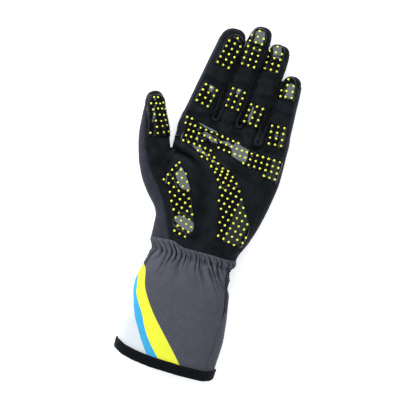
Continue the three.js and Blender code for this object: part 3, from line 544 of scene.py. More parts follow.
def relaxed(points, faces, rounds, strength=0.5):
    """Evens out a mesh: each point moves towards the middle of its neighbours."""
    edges = np.concatenate([faces[:, [0, 1]], faces[:, [1, 2]], faces[:, [2, 0]]])
    edges = np.unique(np.sort(edges, axis=1), axis=0)
    degree = np.bincount(edges.ravel(), minlength=len(points))[:, None]
    for _ in range(rounds):
        total = np.zeros_like(points)
        np.add.at(total, edges[:, 0], points[edges[:, 1]])
        np.add.at(total, edges[:, 1], points[edges[:, 0]])
        points = points + strength * (total / np.maximum(degree, 1) - points)
    return points


def rough(points, scale, seed=0):
    """Soft noise at points in millimetres, about -1 to 1."""
    shift = Vector((seed * 17.1, seed * 5.3, seed * 9.7))
    return np.array([noise.noise(Vector(p) / scale + shift) for p in points])


def to_path(points, path):
    """Distance from points to an open path seen from above, and the side: more than 0 on its right."""
    path = np.asarray(path, float)
    best = np.full(len(points), 1e9)
    side = np.zeros(len(points))
    for a, b in zip(path[:-1], path[1:]):
        along = b - a
        t = np.clip(((points[:, :2] - a) @ along) / (along @ along), 0, 1)
        gap = points[:, :2] - a - t[:, None] * along
        far = np.hypot(gap[:, 0], gap[:, 1])
        turn = along[1] * gap[:, 0] - along[0] * gap[:, 1]
        closer = far < best
        best[closer], side[closer] = far[closer], turn[closer]
    return best, side


def inset(points, outline):
    """How far points lie inside an outline seen from above, less than 0 outside."""
    outline = np.asarray(outline, float)
    closed = np.concatenate([outline, outline[:1]])
    far, _ = to_path(points, closed)
    x, y = points[:, 0], points[:, 1]
    inside = np.zeros(len(points), bool)
    for (x0, y0), (x1, y1) in zip(closed[:-1], closed[1:]):
        if y0 != y1:
            inside ^= ((y0 > y) != (y1 > y)) & (x < (x1 - x0) * (y - y0) / (y1 - y0) + x0)
    return np.where(inside, far, -far)


def curve(points, steps=8):
    """A smooth curve through points."""
    p = np.asarray(points, float)
    p = np.concatenate([[2 * p[0] - p[1]], p, [2 * p[-1] - p[-2]]])
    out = []
    for i in range(1, len(p) - 2):
        for t in np.linspace(0, 1, steps, endpoint=False):
            a, b, c, d = p[i - 1:i + 3]
            out.append(0.5 * (2 * b + (c - a) * t + (2 * a - 5 * b + 4 * c - d) * t * t
                              + (3 * b - 3 * c + d - a) * t ** 3))
    return np.array([*out, p[-2]])


def rounded(outline, radius, steps=5):
    """An outline with its corners rounded."""
    outline = np.asarray(outline, float)
    out = []
    for i, corner in enumerate(outline):
        before, after = outline[i - 1] - corner, outline[(i + 1) % len(outline)] - corner
        size = min(radius, 0.45 * np.linalg.norm(before), 0.45 * np.linalg.norm(after))
        a = corner + before / np.linalg.norm(before) * size
        b = corner + after / np.linalg.norm(after) * size
        for t in np.linspace(0, 1, steps):
            out.append((1 - t) ** 2 * a + 2 * t * (1 - t) * corner + t * t * b)
    return np.array(out)


def ribbon(rows):
    """The outline of a ribbon through rows with a centre, a half width and a turn."""
    edges = []
    for side in (-1, 1):
        points = []
        for row in rows:
            turn = math.radians(row["turn"])
            points.append((row["x"] + side * row["half"] * math.cos(turn),
                           row["y"] + side * row["half"] * math.sin(turn)))
        edges.append(curve(points))
    return np.concatenate([edges[0], edges[1][::-1]])


def seam_height(y):
    """Height of the seam between the suede and the back."""
    share = np.clip((y - 40) / 27, 0, 1)
    finger = 18.5 * (1 - 0.12 * np.clip((y - KNUCKLE_Y) / 80, 0, 1))
    depth = np.where(y < KNUCKLE_Y, np.maximum(through(PALM, "depth", y), finger), finger)
    return (0.6 + 0.16 * share) * depth


def zones(p):
    """Fields that the hand's seams follow, each more than 0 on one side of its seam."""
    x, y, z = p.T
    leaned = x - (y - KNUCKLE_Y) * LEAN
    far, side = to_path(p, curve(BACK_SEAM, 4))
    right = np.where(side > 0, far, -far)
    high = seam_height(y)
    rim = high + (8 - high) * np.clip((58 - y) / 14, 0, 1) * np.clip((-20 - x) / 10, 0, 1)
    tip = np.full(len(p), -50.0)
    between = np.full(len(p), -50.0)
    for finger in FINGERS:
        left, right_edge = finger_edges(finger, y)
        start = KNUCKLE_Y + finger["length"] - 0.55 * finger["tip"]
        beside = np.minimum(leaned - left + 0.4, right_edge + 0.4 - leaned)
        tip = np.maximum(tip, np.minimum(np.minimum(y - start, z - STRIP_LOW), beside))
    for crotch in CROTCHES:
        near = 4.4 - np.abs(leaned - crotch["at"])
        between = np.maximum(between, np.minimum(near, y - crotch["y"] + 4.4))
    over = np.minimum(z - rim, np.where((z > 7) & (y < 84), right, 9.0))
    return {
        "palm": blend_max(over, tip, 7),
        "between": np.minimum(between, np.minimum(z - STRIP_LOW, high - z)),
    }


def wrist_line(x):
    """How far up the glove its wrist seam lies at each place across it."""
    xs, ys = np.array(WRIST_SEAM, float).T
    return np.interp(x, xs, ys)


def hem_line(x):
    """How far up the glove the edge of its hem lies at each place across it."""
    xs, ys = np.array(HEM, float).T
    return np.interp(x, xs, ys)


def relief(points, normal):
    """Raises and presses the hand's upper side, and says where the suede gets painted shade (-1) or a painted
    highlight (1).
    """
    x, y, z = points.T
    up = np.clip(normal[:, 2] * 1.6, 0, 1)
    lift = np.zeros(len(points))
    painted_shading = np.zeros(len(points))
    for swell in SWELLS:
        across, along = (x - swell["x"]) / swell["wide"], (y - swell["y"]) / swell["long"]
        lift += swell["high"] * np.exp(-across ** 2 - along ** 2)
    for crease in CREASES:
        far, _ = to_path(points, curve(crease["path"]))
        width = crease["width"]
        fold = -crease["depth"] * np.exp(-(far / width) ** 2)
        fold += crease["swell"] * np.exp(-((far - 2.3 * width) / (1.2 * width)) ** 2)
        fold *= 1 - np.exp(-((x - crease["path"][-1][0]) ** 2 + (y - crease["path"][-1][1]) ** 2) / 90)
        lift += fold
        # Painted shade darkens the crease, and a painted highlight lightens its swells.
        painted_shading += 0.5 * fold
    leaned = x - (y - KNUCKLE_Y) * LEAN
    for crotch in CROTCHES:
        # The strip between the fingers shows as a raised lip round its slit's end, with dimples beyond it.
        far = np.hypot(leaned - crotch["at"], np.minimum(y - crotch["y"] - 1, 0))
        fade = np.clip((crotch["y"] + 34 - y) / 24, 0, 1)
        fold = fade * (1.3 * np.exp(-((far - 2.2) / 0.85) ** 2) - 1.1 * np.exp(-((far - 4.3) / 1.1) ** 2))
        fold -= 1.0 * np.exp(-(far / 0.9) ** 2) * (y < crotch["y"] + 3)
        for way in (-1, 0, 1):
            spread = leaned - crotch["at"] - way * 0.7 * (crotch["y"] - 2 - y)
            fold -= 0.9 * np.exp(-(spread / 2.2) ** 2) * np.exp(-((y - crotch["y"] + 9) / 4.5) ** 2)
        lift += fold
        # The lip gets a painted highlight, and the slit and dimples get painted shade.
        painted_shading += 0.5 * fold
    for finger in FINGERS:
        for share, deep in ((0.0, 0.5), (0.38, 0.5), (0.6, 0.3)):
            at = KNUCKLE_Y + share * finger["length"]
            left, right = finger_edges(finger, y)
            on = np.clip(np.minimum(leaned - left, right - leaned) / 3, 0, 1)
            wave = y - at - 1.2 * np.sin(leaned / 4.5 + share * 9)
            fold = on * deep * (0.5 * np.exp(-((wave - 3.2) / 2) ** 2) - np.exp(-(wave / 1.8) ** 2))
            lift += fold
            # The finger's creases get painted shade too.
            painted_shading += 0.9 * fold
    slack = 0.32 * rough(points, 18, 1) + 0.05 * rough(points * [1, 0.7, 1], 6.5, 2)
    slack *= np.clip(z / 4, 0, 1)
    for crotch in CROTCHES:
        slack *= np.where(y > crotch["y"] - 4, np.clip(np.abs(leaned - crotch["at"]) / 5, 0, 1), 1.0)
    out = points + normal * slack[:, None]
    out[:, 2] += lift * up
    top = normal[:, 2] > 0.15
    ragged = rough(points, 4.5, 31)
    for facet in FACETS:
        lean = math.radians(facet["lean"])
        dx, dy = out[:, 0] - facet["x"], out[:, 1] - facet["y"]
        across = dx * math.cos(lean) - dy * math.sin(lean)
        along = dx * math.sin(lean) + dy * math.cos(lean)
        reach = ((np.abs(across) / facet["wide"]) ** 4 + (np.abs(along) / facet["tall"]) ** 4) ** 0.25
        edge = 1.3 + min(0.45, 1.8 / math.sqrt(facet["wide"] * facet["tall"])) * ragged
        window = np.clip((edge - reach) / 0.35, 0, 1) * top
        middle = np.argmin(dx ** 2 + dy ** 2 + 1000 * ~top)
        side = np.where(across > 0, facet.get("right", facet["side"]), facet["side"])
        fall = np.tan(np.radians(side)) * across + math.tan(math.radians(facet["tip"])) * dy
        plane = out[middle, 2] - fall
        out[:, 2] += window * (plane - out[:, 2])
    return out, np.clip(painted_shading, -1, 1) * up


def hand():
    """The hand's outer skin, cut along its seams: points, faces, a panel number for each face."""
    if "hand" in GLOVE:
        return GLOVE["hand"]
    low = np.array([-84.7, -51.0, -2.0])
    cell = np.array([1.0, 1.1, 1.0])
    size = (140, 186, 35)
    grid = np.stack(np.meshgrid(*[np.arange(n) for n in size], indexing="ij"), -1).reshape(-1, 3) * cell + low
    placed = grid.copy()
    placed[:, 0] += (grid[:, 1] - KNUCKLE_Y) * LEAN
    field = hand_distance(placed).reshape(size)
    points, quads = skin(field, low, cell)
    points[:, 0] += (points[:, 1] - KNUCKLE_Y) * LEAN
    faces = triangles(points, quads)
    points = relaxed(points, faces, 1, 0.35)
    for _ in range(2):
        here = hand_distance(points)
        slope = np.stack([(hand_distance(points + step) - here) / 0.05 for step in np.eye(3) * 0.05], 1)
        size_of = np.maximum((slope ** 2).sum(1), 0.2)
        points = points - slope * (np.clip(here, -0.6, 0.6) / size_of)[:, None]
    centre = points[faces].mean(1)
    if (normals(points, faces)[faces[:, 0]] * (centre - [0, 40, 9]))[:, 2].sum() < 0:
        faces = faces[:, ::-1]
    for name in ("palm", "between"):
        points, faces = cut(points, faces, zones(points)[name])
    points, faces = cut(points, faces, points[:, 1] - wrist_line(points[:, 0]))
    centre = points[faces].mean(1)
    keep = centre[:, 1] > wrist_line(centre[:, 0])
    points, faces, _ = trimmed(points, faces, keep)
    centre = points[faces].mean(1)
    field = zones(centre)
    leaned = centre[:, 0] - (centre[:, 1] - KNUCKLE_Y) * LEAN
    panel = np.where(field["palm"] > 0, 0, 1)
    for number, crotch in enumerate(CROTCHES):
        near = np.abs(leaned - crotch["at"]) < 8
        panel[(field["between"] > 0) & near & (field["palm"] <= 0)] = 2 + number
    # The strips swell until neighbours touch, up to the tip of the shorter finger.
    bulge = np.zeros(len(points))
    for number, (finger, other) in enumerate(zip(FINGERS, FINGERS[1:])):
        strip = np.unique(faces[panel == 2 + number])
        tip = KNUCKLE_Y + min(finger["length"], other["length"]) - 2
        bulge[strip] = 0.35 * np.clip((tip - points[strip, 1]) / 5, 0, 1)
    points, painted_shading = relief(points + normals(points, faces) * bulge[:, None], normals(points, faces))
    points = tucked(points, faces, panel, 0.75, 1.9)
    # Painted shade for the creases and painted highlight for the ridges, for the suede's colour.
    GLOVE["painted_shading"] = painted_shading
    GLOVE["hand"] = (points, faces, panel)
    return GLOVE["hand"]


def borders(faces, panel, count):
    """Points on a seam between two panels."""
    low = np.full(count, 99)
    high = np.full(count, -1)
    for k in range(3):
        np.minimum.at(low, faces[:, k], panel)
        np.maximum.at(high, faces[:, k], panel)
    return high > low


def tucked(points, faces, panel, depth, width):
    """Draws the cloth in towards its seams, as a turned seam does."""
    edge = np.flatnonzero(borders(faces, panel, len(points)))
    tree = KDTree(len(edge))
    for i, at in enumerate(edge):
        tree.insert(points[at], i)
    tree.balance()
    far = np.array([tree.find(p)[2] for p in points])
    drop = depth * np.clip(1 - far / width, 0, 1) ** 2
    return points - normals(points, faces) * drop[:, None]


def smooth_mesh(name, points, faces, materials, uv=None, slots=None):
    """A piece in metres, smooth, with its materials and the cloth's own coordinates where it has them."""
    mesh = bpy.data.meshes.new(name)
    mesh.from_pydata((points * MM).tolist(), [], faces.tolist())
    for material in materials:
        mesh.materials.append(material)
    if slots is not None:
        mesh.polygons.foreach_set("material_index", np.asarray(slots, np.int32))
    mesh.shade_smooth()
    if uv is not None:
        layer = mesh.uv_layers.new(name="cloth")
        loops = np.empty(len(mesh.loops), np.int32)
        mesh.loops.foreach_get("vertex_index", loops)
        layer.data.foreach_set("uv", (uv[loops] * MM).astype(np.float32).ravel())
    mesh.update()
    piece = bpy.data.objects.new(name, mesh)
    bpy.context.scene.collection.objects.link(piece)
    return piece


def thickened(piece, wall):
    """Gives a panel its wall, inwards from the face that shows."""
    solid = piece.modifiers.new("wall", "SOLIDIFY")
    solid.thickness = wall * MM
    solid.offset = -1
    return piece


def placed_for(piece, nodes):
    """The piece rides with the glove and stands for its CAD nodes, which it hides."""
    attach(piece, "root")
    if nodes:
        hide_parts(*nodes)
    return piece


def linear(hex_colour):
    """A colour given as sRGB hex, as the linear values that Blender works in."""
    parts = [int(hex_colour[i:i + 2], 16) / 255 for i in (1, 3, 5)]
    return (*[c / 12.92 if c <= 0.04045 else ((c + 0.055) / 1.055) ** 2.4 for c in parts], 1.0)


def add(tree, kind, settings=None, values=None, links=None):
    """Adds one node with its settings, its unlinked values and its links."""
    node = tree.nodes.new(kind)
    for key, value in (settings or {}).items():
        setattr(node, key, value)
    for key, value in (values or {}).items():
        node.inputs[key].default_value = value
    for key, socket in (links or {}).items():
        tree.links.new(socket, node.inputs[key])
    return node


def blank(name, roughness, specular=0.5, sheen=0.0, sheen_roughness=0.5, sheen_tint="#FFFFFF",
          coat=0.0, coat_roughness=0.1, ior=1.5):
    """A material with only its shader, whose even values sit on the shader's own sockets."""
    material = bpy.data.materials.new(name)
    material.use_nodes = True
    tree = material.node_tree
    shader = tree.nodes["Principled BSDF"]
    shader.inputs["Roughness"].default_value = roughness
    shader.inputs["Specular IOR Level"].default_value = specular
    shader.inputs["Sheen Weight"].default_value = sheen
    shader.inputs["Sheen Roughness"].default_value = sheen_roughness
    shader.inputs["Sheen Tint"].default_value = linear(sheen_tint)
    shader.inputs["Coat Weight"].default_value = coat
    shader.inputs["Coat Roughness"].default_value = coat_roughness
    shader.inputs["IOR"].default_value = ior
    return material, tree, shader


def shades(colour, spread):
    """A darker and a paler shade of a colour."""
    return [(*[c * (1 + way * spread) for c in colour[:3]], 1.0) for way in (-1, 1)]


def mottled(tree, low, high, scale, detail, coords, spread=(0.35, 0.65)):
    """A colour that wanders between two, and the noise that it follows."""
    spots = add(tree, "ShaderNodeTexNoise",
                values={"Scale": scale, "Detail": detail}, links={"Vector": coords})
    ramp = add(tree, "ShaderNodeValToRGB", links={"Fac": spots.outputs["Fac"]})
    ramp.color_ramp.elements[0].position, ramp.color_ramp.elements[1].position = spread
    ramp.color_ramp.elements[0].color, ramp.color_ramp.elements[1].color = low, high
    return ramp.outputs["Color"], spots.outputs["Fac"]


def suede(name, low, high, sheen):
    """Synthetic suede, a brushed microfibre."""
    # It has no gloss, a soft pale bloom at grazing angles and a short, patchy nap.
    material, tree, shader = blank(
        name, 0.92, specular=0.2, sheen=sheen, sheen_roughness=0.45, sheen_tint="#C6CCD6")
    coords = add(tree, "ShaderNodeTexCoord").outputs["Object"]
    # The suede's tone lies in patches about 6 mm across. Painted shade darkens it in creases and a painted
    # highlight makes it paler on ridges.
    patchy, _ = mottled(tree, low, high, 160, 3, coords)
    # This ramp paints the shade and highlight: darkest in a crease, full colour on a ridge.
    painted_shading = add(tree, "ShaderNodeAttribute", {"attribute_name": "painted_shading"})
    ways = add(tree, "ShaderNodeMapRange",
               values={"From Min": -1.0, "From Max": 1.0}, links={"Value": painted_shading.outputs["Fac"]})
    ramp = add(tree, "ShaderNodeValToRGB", links={"Fac": ways.outputs["Result"]})
    ramp.color_ramp.elements[0].color = linear("#606060")
    ramp.color_ramp.elements[1].color = linear("#FFFFFF")
    ramp.color_ramp.elements.new(0.5).color = linear("#C4C4C4")
    colour = add(tree, "ShaderNodeMix", {"data_type": "RGBA", "blend_type": "MULTIPLY"},
                 {"Factor": 1.0}, {6: patchy, 7: ramp.outputs["Color"]}).outputs[2]
    # Fibres are under 0.1 mm; the nap is drawn at 0.5 mm so that it shows.
    fibre = add(tree, "ShaderNodeTexNoise", values={"Scale": 2000, "Detail": 2}, links={"Vector": coords})
    pebble = add(tree, "ShaderNodeTexNoise", values={"Scale": 420, "Detail": 3}, links={"Vector": coords})
    both = add(tree, "ShaderNodeMath", {"operation": "ADD"},
               links={0: fibre.outputs["Fac"], 1: pebble.outputs["Fac"]})
    bump = add(tree, "ShaderNodeBump",
               values={"Strength": 0.35, "Distance": 0.00035}, links={"Height": both.outputs[0]})
    tree.links.new(colour, shader.inputs["Base Color"])
    tree.links.new(bump.outputs["Normal"], shader.inputs["Normal"])
    return material


def stretch_cloth(name, low, high, pitch, rib=False, sheen=0.15, glow=0.0):
    """Stretch polyester cloth, woven in both directions or knitted in ribs."""
    # It is matt, with fine threads and a slight heather in its grey.
    material, tree, shader = blank(
        name, 0.86, specular=0.3, sheen=sheen, sheen_roughness=0.4, sheen_tint="#D8DAE2")
    coords = add(tree, "ShaderNodeTexCoord").outputs["UV"]
    place = add(tree, "ShaderNodeTexCoord").outputs["Object"]
    colour, _ = mottled(tree, low, high, 210, 4, place, (0.3, 0.7))
    # The cloth's own coordinates are in metres, so one wave a thread is one over the thread spacing. Real
    # threads stand 0.3 mm apart; the weave is drawn coarser so that it shows.
    turns = 1 / (pitch * MM)
    waves = []
    for axis in (("X",) if rib else ("X", "Y")):
        waves.append(add(
            tree, "ShaderNodeTexWave",
            {"wave_type": "BANDS", "bands_direction": axis, "wave_profile": "SIN"},
            {"Scale": turns / 20 * math.pi, "Distortion": 0.6, "Detail": 1.0}, {"Vector": coords}))
    height = waves[0].outputs["Fac"]
    if not rib:
        height = add(tree, "ShaderNodeMath", {"operation": "MULTIPLY"},
                     links={0: waves[0].outputs["Fac"], 1: waves[1].outputs["Fac"]}).outputs[0]
    tint = add(tree, "ShaderNodeMix", {"data_type": "RGBA", "blend_type": "MULTIPLY"},
               {"Factor": 0.16}, {6: colour, 7: height})
    bump = add(tree, "ShaderNodeBump", values={"Strength": 0.5, "Distance": 0.0003}, links={"Height": height})
    # Painted shade darkens the cloth down in a pleat, and a painted highlight makes it paler on its crest.
    fold = add(tree, "ShaderNodeAttribute", {"attribute_name": "fold"})
    deep = add(tree, "ShaderNodeMapRange",
               values={"From Min": -1.0, "From Max": 0.25, "To Min": 0.38, "To Max": 1.13},
               links={"Value": fold.outputs["Fac"]})
    shade = add(tree, "ShaderNodeMix", {"data_type": "RGBA", "blend_type": "MULTIPLY"}, {"Factor": 1.0},
                {6: tint.outputs[2], 7: deep.outputs["Result"]})
    tree.links.new(shade.outputs[2], shader.inputs["Base Color"])
    if glow:
        # Fluorescent ink gives back more yellow light than falls on it; the emission paints that in as a glow
        # of its own, the same however the stripe is lit.
        tree.links.new(shade.outputs[2], shader.inputs["Emission Color"])
        shader.inputs["Emission Strength"].default_value = glow
    tree.links.new(bump.outputs["Normal"], shader.inputs["Normal"])
    return material


def silicone(name, low, high, roughness):
    """Screen-printed silicone, cured in place."""
    # It is glossy and smooth, and gently uneven where it follows the suede.
    material, tree, shader = blank(name, roughness, specular=0.6, coat=0.5, coat_roughness=0.08, ior=1.43)
    coords = add(tree, "ShaderNodeTexCoord").outputs["Object"]
    colour, _ = mottled(tree, low, high, 90, 2, coords)
    waves = add(tree, "ShaderNodeTexNoise", values={"Scale": 240, "Detail": 2}, links={"Vector": coords})
    bump = add(tree, "ShaderNodeBump",
               values={"Strength": 0.05, "Distance": 0.0004}, links={"Height": waves.outputs["Fac"]})
    tree.links.new(colour, shader.inputs["Base Color"])
    tree.links.new(bump.outputs["Normal"], shader.inputs["Normal"])
    return material


def thread(name, colour):
    """Bonded nylon sewing thread, twisted."""
    # It has a low sheen, with the twist as fine slanted ribs.
    material, tree, shader = blank(name, 0.6, specular=0.4)
    coords = add(tree, "ShaderNodeTexCoord").outputs["Object"]
    twist = add(tree, "ShaderNodeTexWave",
                {"bands_direction": "DIAGONAL"}, {"Scale": 900}, {"Vector": coords})
    bump = add(tree, "ShaderNodeBump",
               values={"Strength": 0.4, "Distance": 0.0001}, links={"Height": twist.outputs["Fac"]})
    shade, _ = mottled(tree, *shades(colour, 0.1), 300, 1, coords)
    tree.links.new(shade, shader.inputs["Base Color"])
    tree.links.new(bump.outputs["Normal"], shader.inputs["Normal"])
    return material


def finish(name):
    """One of the glove's materials, made once."""
    kept = GLOVE.setdefault("materials", {})
    if name not in kept:
        dyes = bpy.context.scene.glove_colours
        made = {
            "suede_black": lambda: suede("Black synthetic suede", *shades(dyes.suede, 0.24), 0.1),
            "cloth_grey": lambda: stretch_cloth("Grey stretch polyester", *shades(dyes.cuff, 0.09), 0.7),
            "cloth_slate": lambda: stretch_cloth(
                "Slate stretch polyester", *shades(dyes.back, 0.16), 0.7, sheen=0.1),
            "print_yellow": lambda: stretch_cloth(
                "Grey cloth printed yellow", *shades(dyes.yellow, 0.03), 0.7, sheen=0.05, glow=0.1),
            "print_blue": lambda: stretch_cloth(
                "Grey cloth printed sky blue", *shades(dyes.blue, 0.08), 0.7, sheen=0.05),
            "print_white": lambda: stretch_cloth(
                "Grey cloth printed white", *shades(dyes.white, 0.04), 0.7, sheen=0.05),
            "knit": lambda: stretch_cloth(
                "Charcoal rib knit", *shades(linear("#303239"), 0.2), 1.1, rib=True),
            "elastic": lambda: stretch_cloth(
                "Black fold-over elastic", *shades(linear("#0F1115"), 0.2), 1.2, rib=True, sheen=0.05),
            "silicone_black": lambda: silicone("Black silicone print", *shades(linear("#07090C"), 0.3), 0.09),
            "silicone_yellow": lambda: silicone("Yellow silicone dots", *shades(dyes.dots, 0.07), 0.34),
            "thread_black": lambda: thread("Black nylon thread", linear("#17191C")),
            "thread_grey": lambda: thread("Grey polyester thread", linear("#4E5058")),
        }[name]
        kept[name] = made()
    return kept[name]


class GloveSizes(bpy.types.PropertyGroup):
    """Sizes of the glove's cloth, print and sewing"""

    suede_wall: bpy.props.FloatProperty(
        name="Suede thickness", description="Wall of the palm and fingers", default=0.0012, unit="LENGTH")
    cloth_wall: bpy.props.FloatProperty(
        name="Cloth thickness", description="Wall of the cuff and back", default=0.0011, unit="LENGTH")
    patch_height: bpy.props.FloatProperty(
        name="Patch height", description="How far the grip patches stand above the suede",
        default=0.0008, unit="LENGTH")
    dot_width: bpy.props.FloatProperty(
        name="Dot width", description="Width of a printed dot", default=0.00203, unit="LENGTH")
    dot_height: bpy.props.FloatProperty(
        name="Dot height", description="How far a dot stands above its patch", default=0.0008, unit="LENGTH")
    stitch_pitch: bpy.props.FloatProperty(
        name="Stitch pitch", description="Distance from stitch to stitch", default=0.0032, unit="LENGTH")
    thread_width: bpy.props.FloatProperty(
        name="Thread width", description="Thickness of the sewing thread", default=0.0005, unit="LENGTH")
    gather_depth: bpy.props.FloatProperty(
        name="Gather depth", description="Depth of the puckers at the wrist elastic",
        default=0.002, unit="LENGTH")


def dye(name, told, hex_colour):
    """A colour of the glove as a property."""
    return bpy.props.FloatVectorProperty(
        name=name, description=told, subtype="COLOR", size=4, min=0, max=1, default=linear(hex_colour))


class GloveColours(bpy.types.PropertyGroup):
    """Colours of the glove's cloth, print and paper"""

    suede: dye("Suede", "Palm and fingers", "#212529")
    cuff: dye("Cuff cloth", "Cuff, front and back", "#565760")
    back: dye("Back cloth", "Back of the hand and of the thumb", "#34353F")
    yellow: dye("Yellow stripe", "Wide stripe printed on the cuff", "#FAFC45")
    blue: dye("Blue stripe", "Stripe printed on the cuff beside the yellow", "#47B6EA")
    white: dye("White print", "Side of the cuff beyond the stripes", "#EAEDF1")
    dots: dye("Dots", "Silicone dots on the grip patches", "#FCFD5E")
    paper: dye("Paper", "Paper under the glove", "#F6F6F7")


def sizes():
    """The sizes that the sidebar shows."""
    return bpy.context.scene.glove_sizes


class GLOVE_OT_hand(bpy.types.Operator):
    """Makes the hand's panels: palm, back, the strips between the fingers and the two halves of the thumb"""

    bl_idname = "glove.hand"
    bl_label = "Hand panels"

    def execute(self, context):
        GLOVE.clear()
        points, faces, panel = hand()
        panels = [
            ("palm_suede", ("palm_panel", "thumb_palm"), 0, "suede_black", "black_suede"),
            ("back_cloth", ("back_panel", "thumb_back"), 1, "cloth_slate", "grey_cloth"),
            ("strip_index_middle", ("fourchette_index_middle",), 2, "suede_black", "black_suede"),
            ("strip_middle_ring", ("fourchette_middle_ring",), 3, "suede_black", "black_suede"),
            ("strip_ring_little", ("fourchette_ring_little",), 4, "suede_black", "black_suede"),
        ]
        for name, nodes, number, material, slot in panels:
            part, own, used = trimmed(points, faces, panel == number)
            across = part[:, 0] + np.sign(part[:, 0]) * part[:, 2]
            uv = np.stack([across, part[:, 1]], 1)
            piece = smooth_mesh(name, part, own, [finish(material)], uv)
            # The suede's colour reads this painted shade and highlight.
            painted_shading = piece.data.attributes.new("painted_shading", "FLOAT", "POINT")
            painted_shading.data.foreach_set("value", GLOVE["painted_shading"][used].astype(np.float32))
            thickened(piece, sizes().suede_wall / MM)
            placed_for(piece, nodes)
        return {"FINISHED"}


def cuff_ring(y, count):
    """Points round the cuff at a height, evenly spaced, from the middle of its underside."""
    angle = np.linspace(0, 2 * math.pi, 721)[:-1] - math.pi / 2
    left, right = through(CUFF, "left", y), through(CUFF, "right", y)
    depth, lift = through(CUFF, "depth", y), through(CUFF, "lift", y)
    across = np.cos(angle)
    up = np.sin(angle)
    power = 2 / CUFF_POWER
    x = (left + right) / 2 + np.sign(across) * np.abs(across) ** power * (right - left) / 2
    z = 0.45 * depth + np.sign(up) * np.abs(up) ** power * np.where(up > 0, 0.55, 0.6) * depth
    z = np.maximum(z, lift)
    ring = np.stack([x, z], 1)
    closed = np.concatenate([ring, ring[:1]])
    length = np.concatenate([[0], np.cumsum(np.linalg.norm(np.diff(closed, axis=0), axis=1))])
    at = np.linspace(0, length[-1], count + 1)[:-1]
    return np.stack([np.interp(at, length, closed[:, 0]), np.interp(at, length, closed[:, 1])], 1)


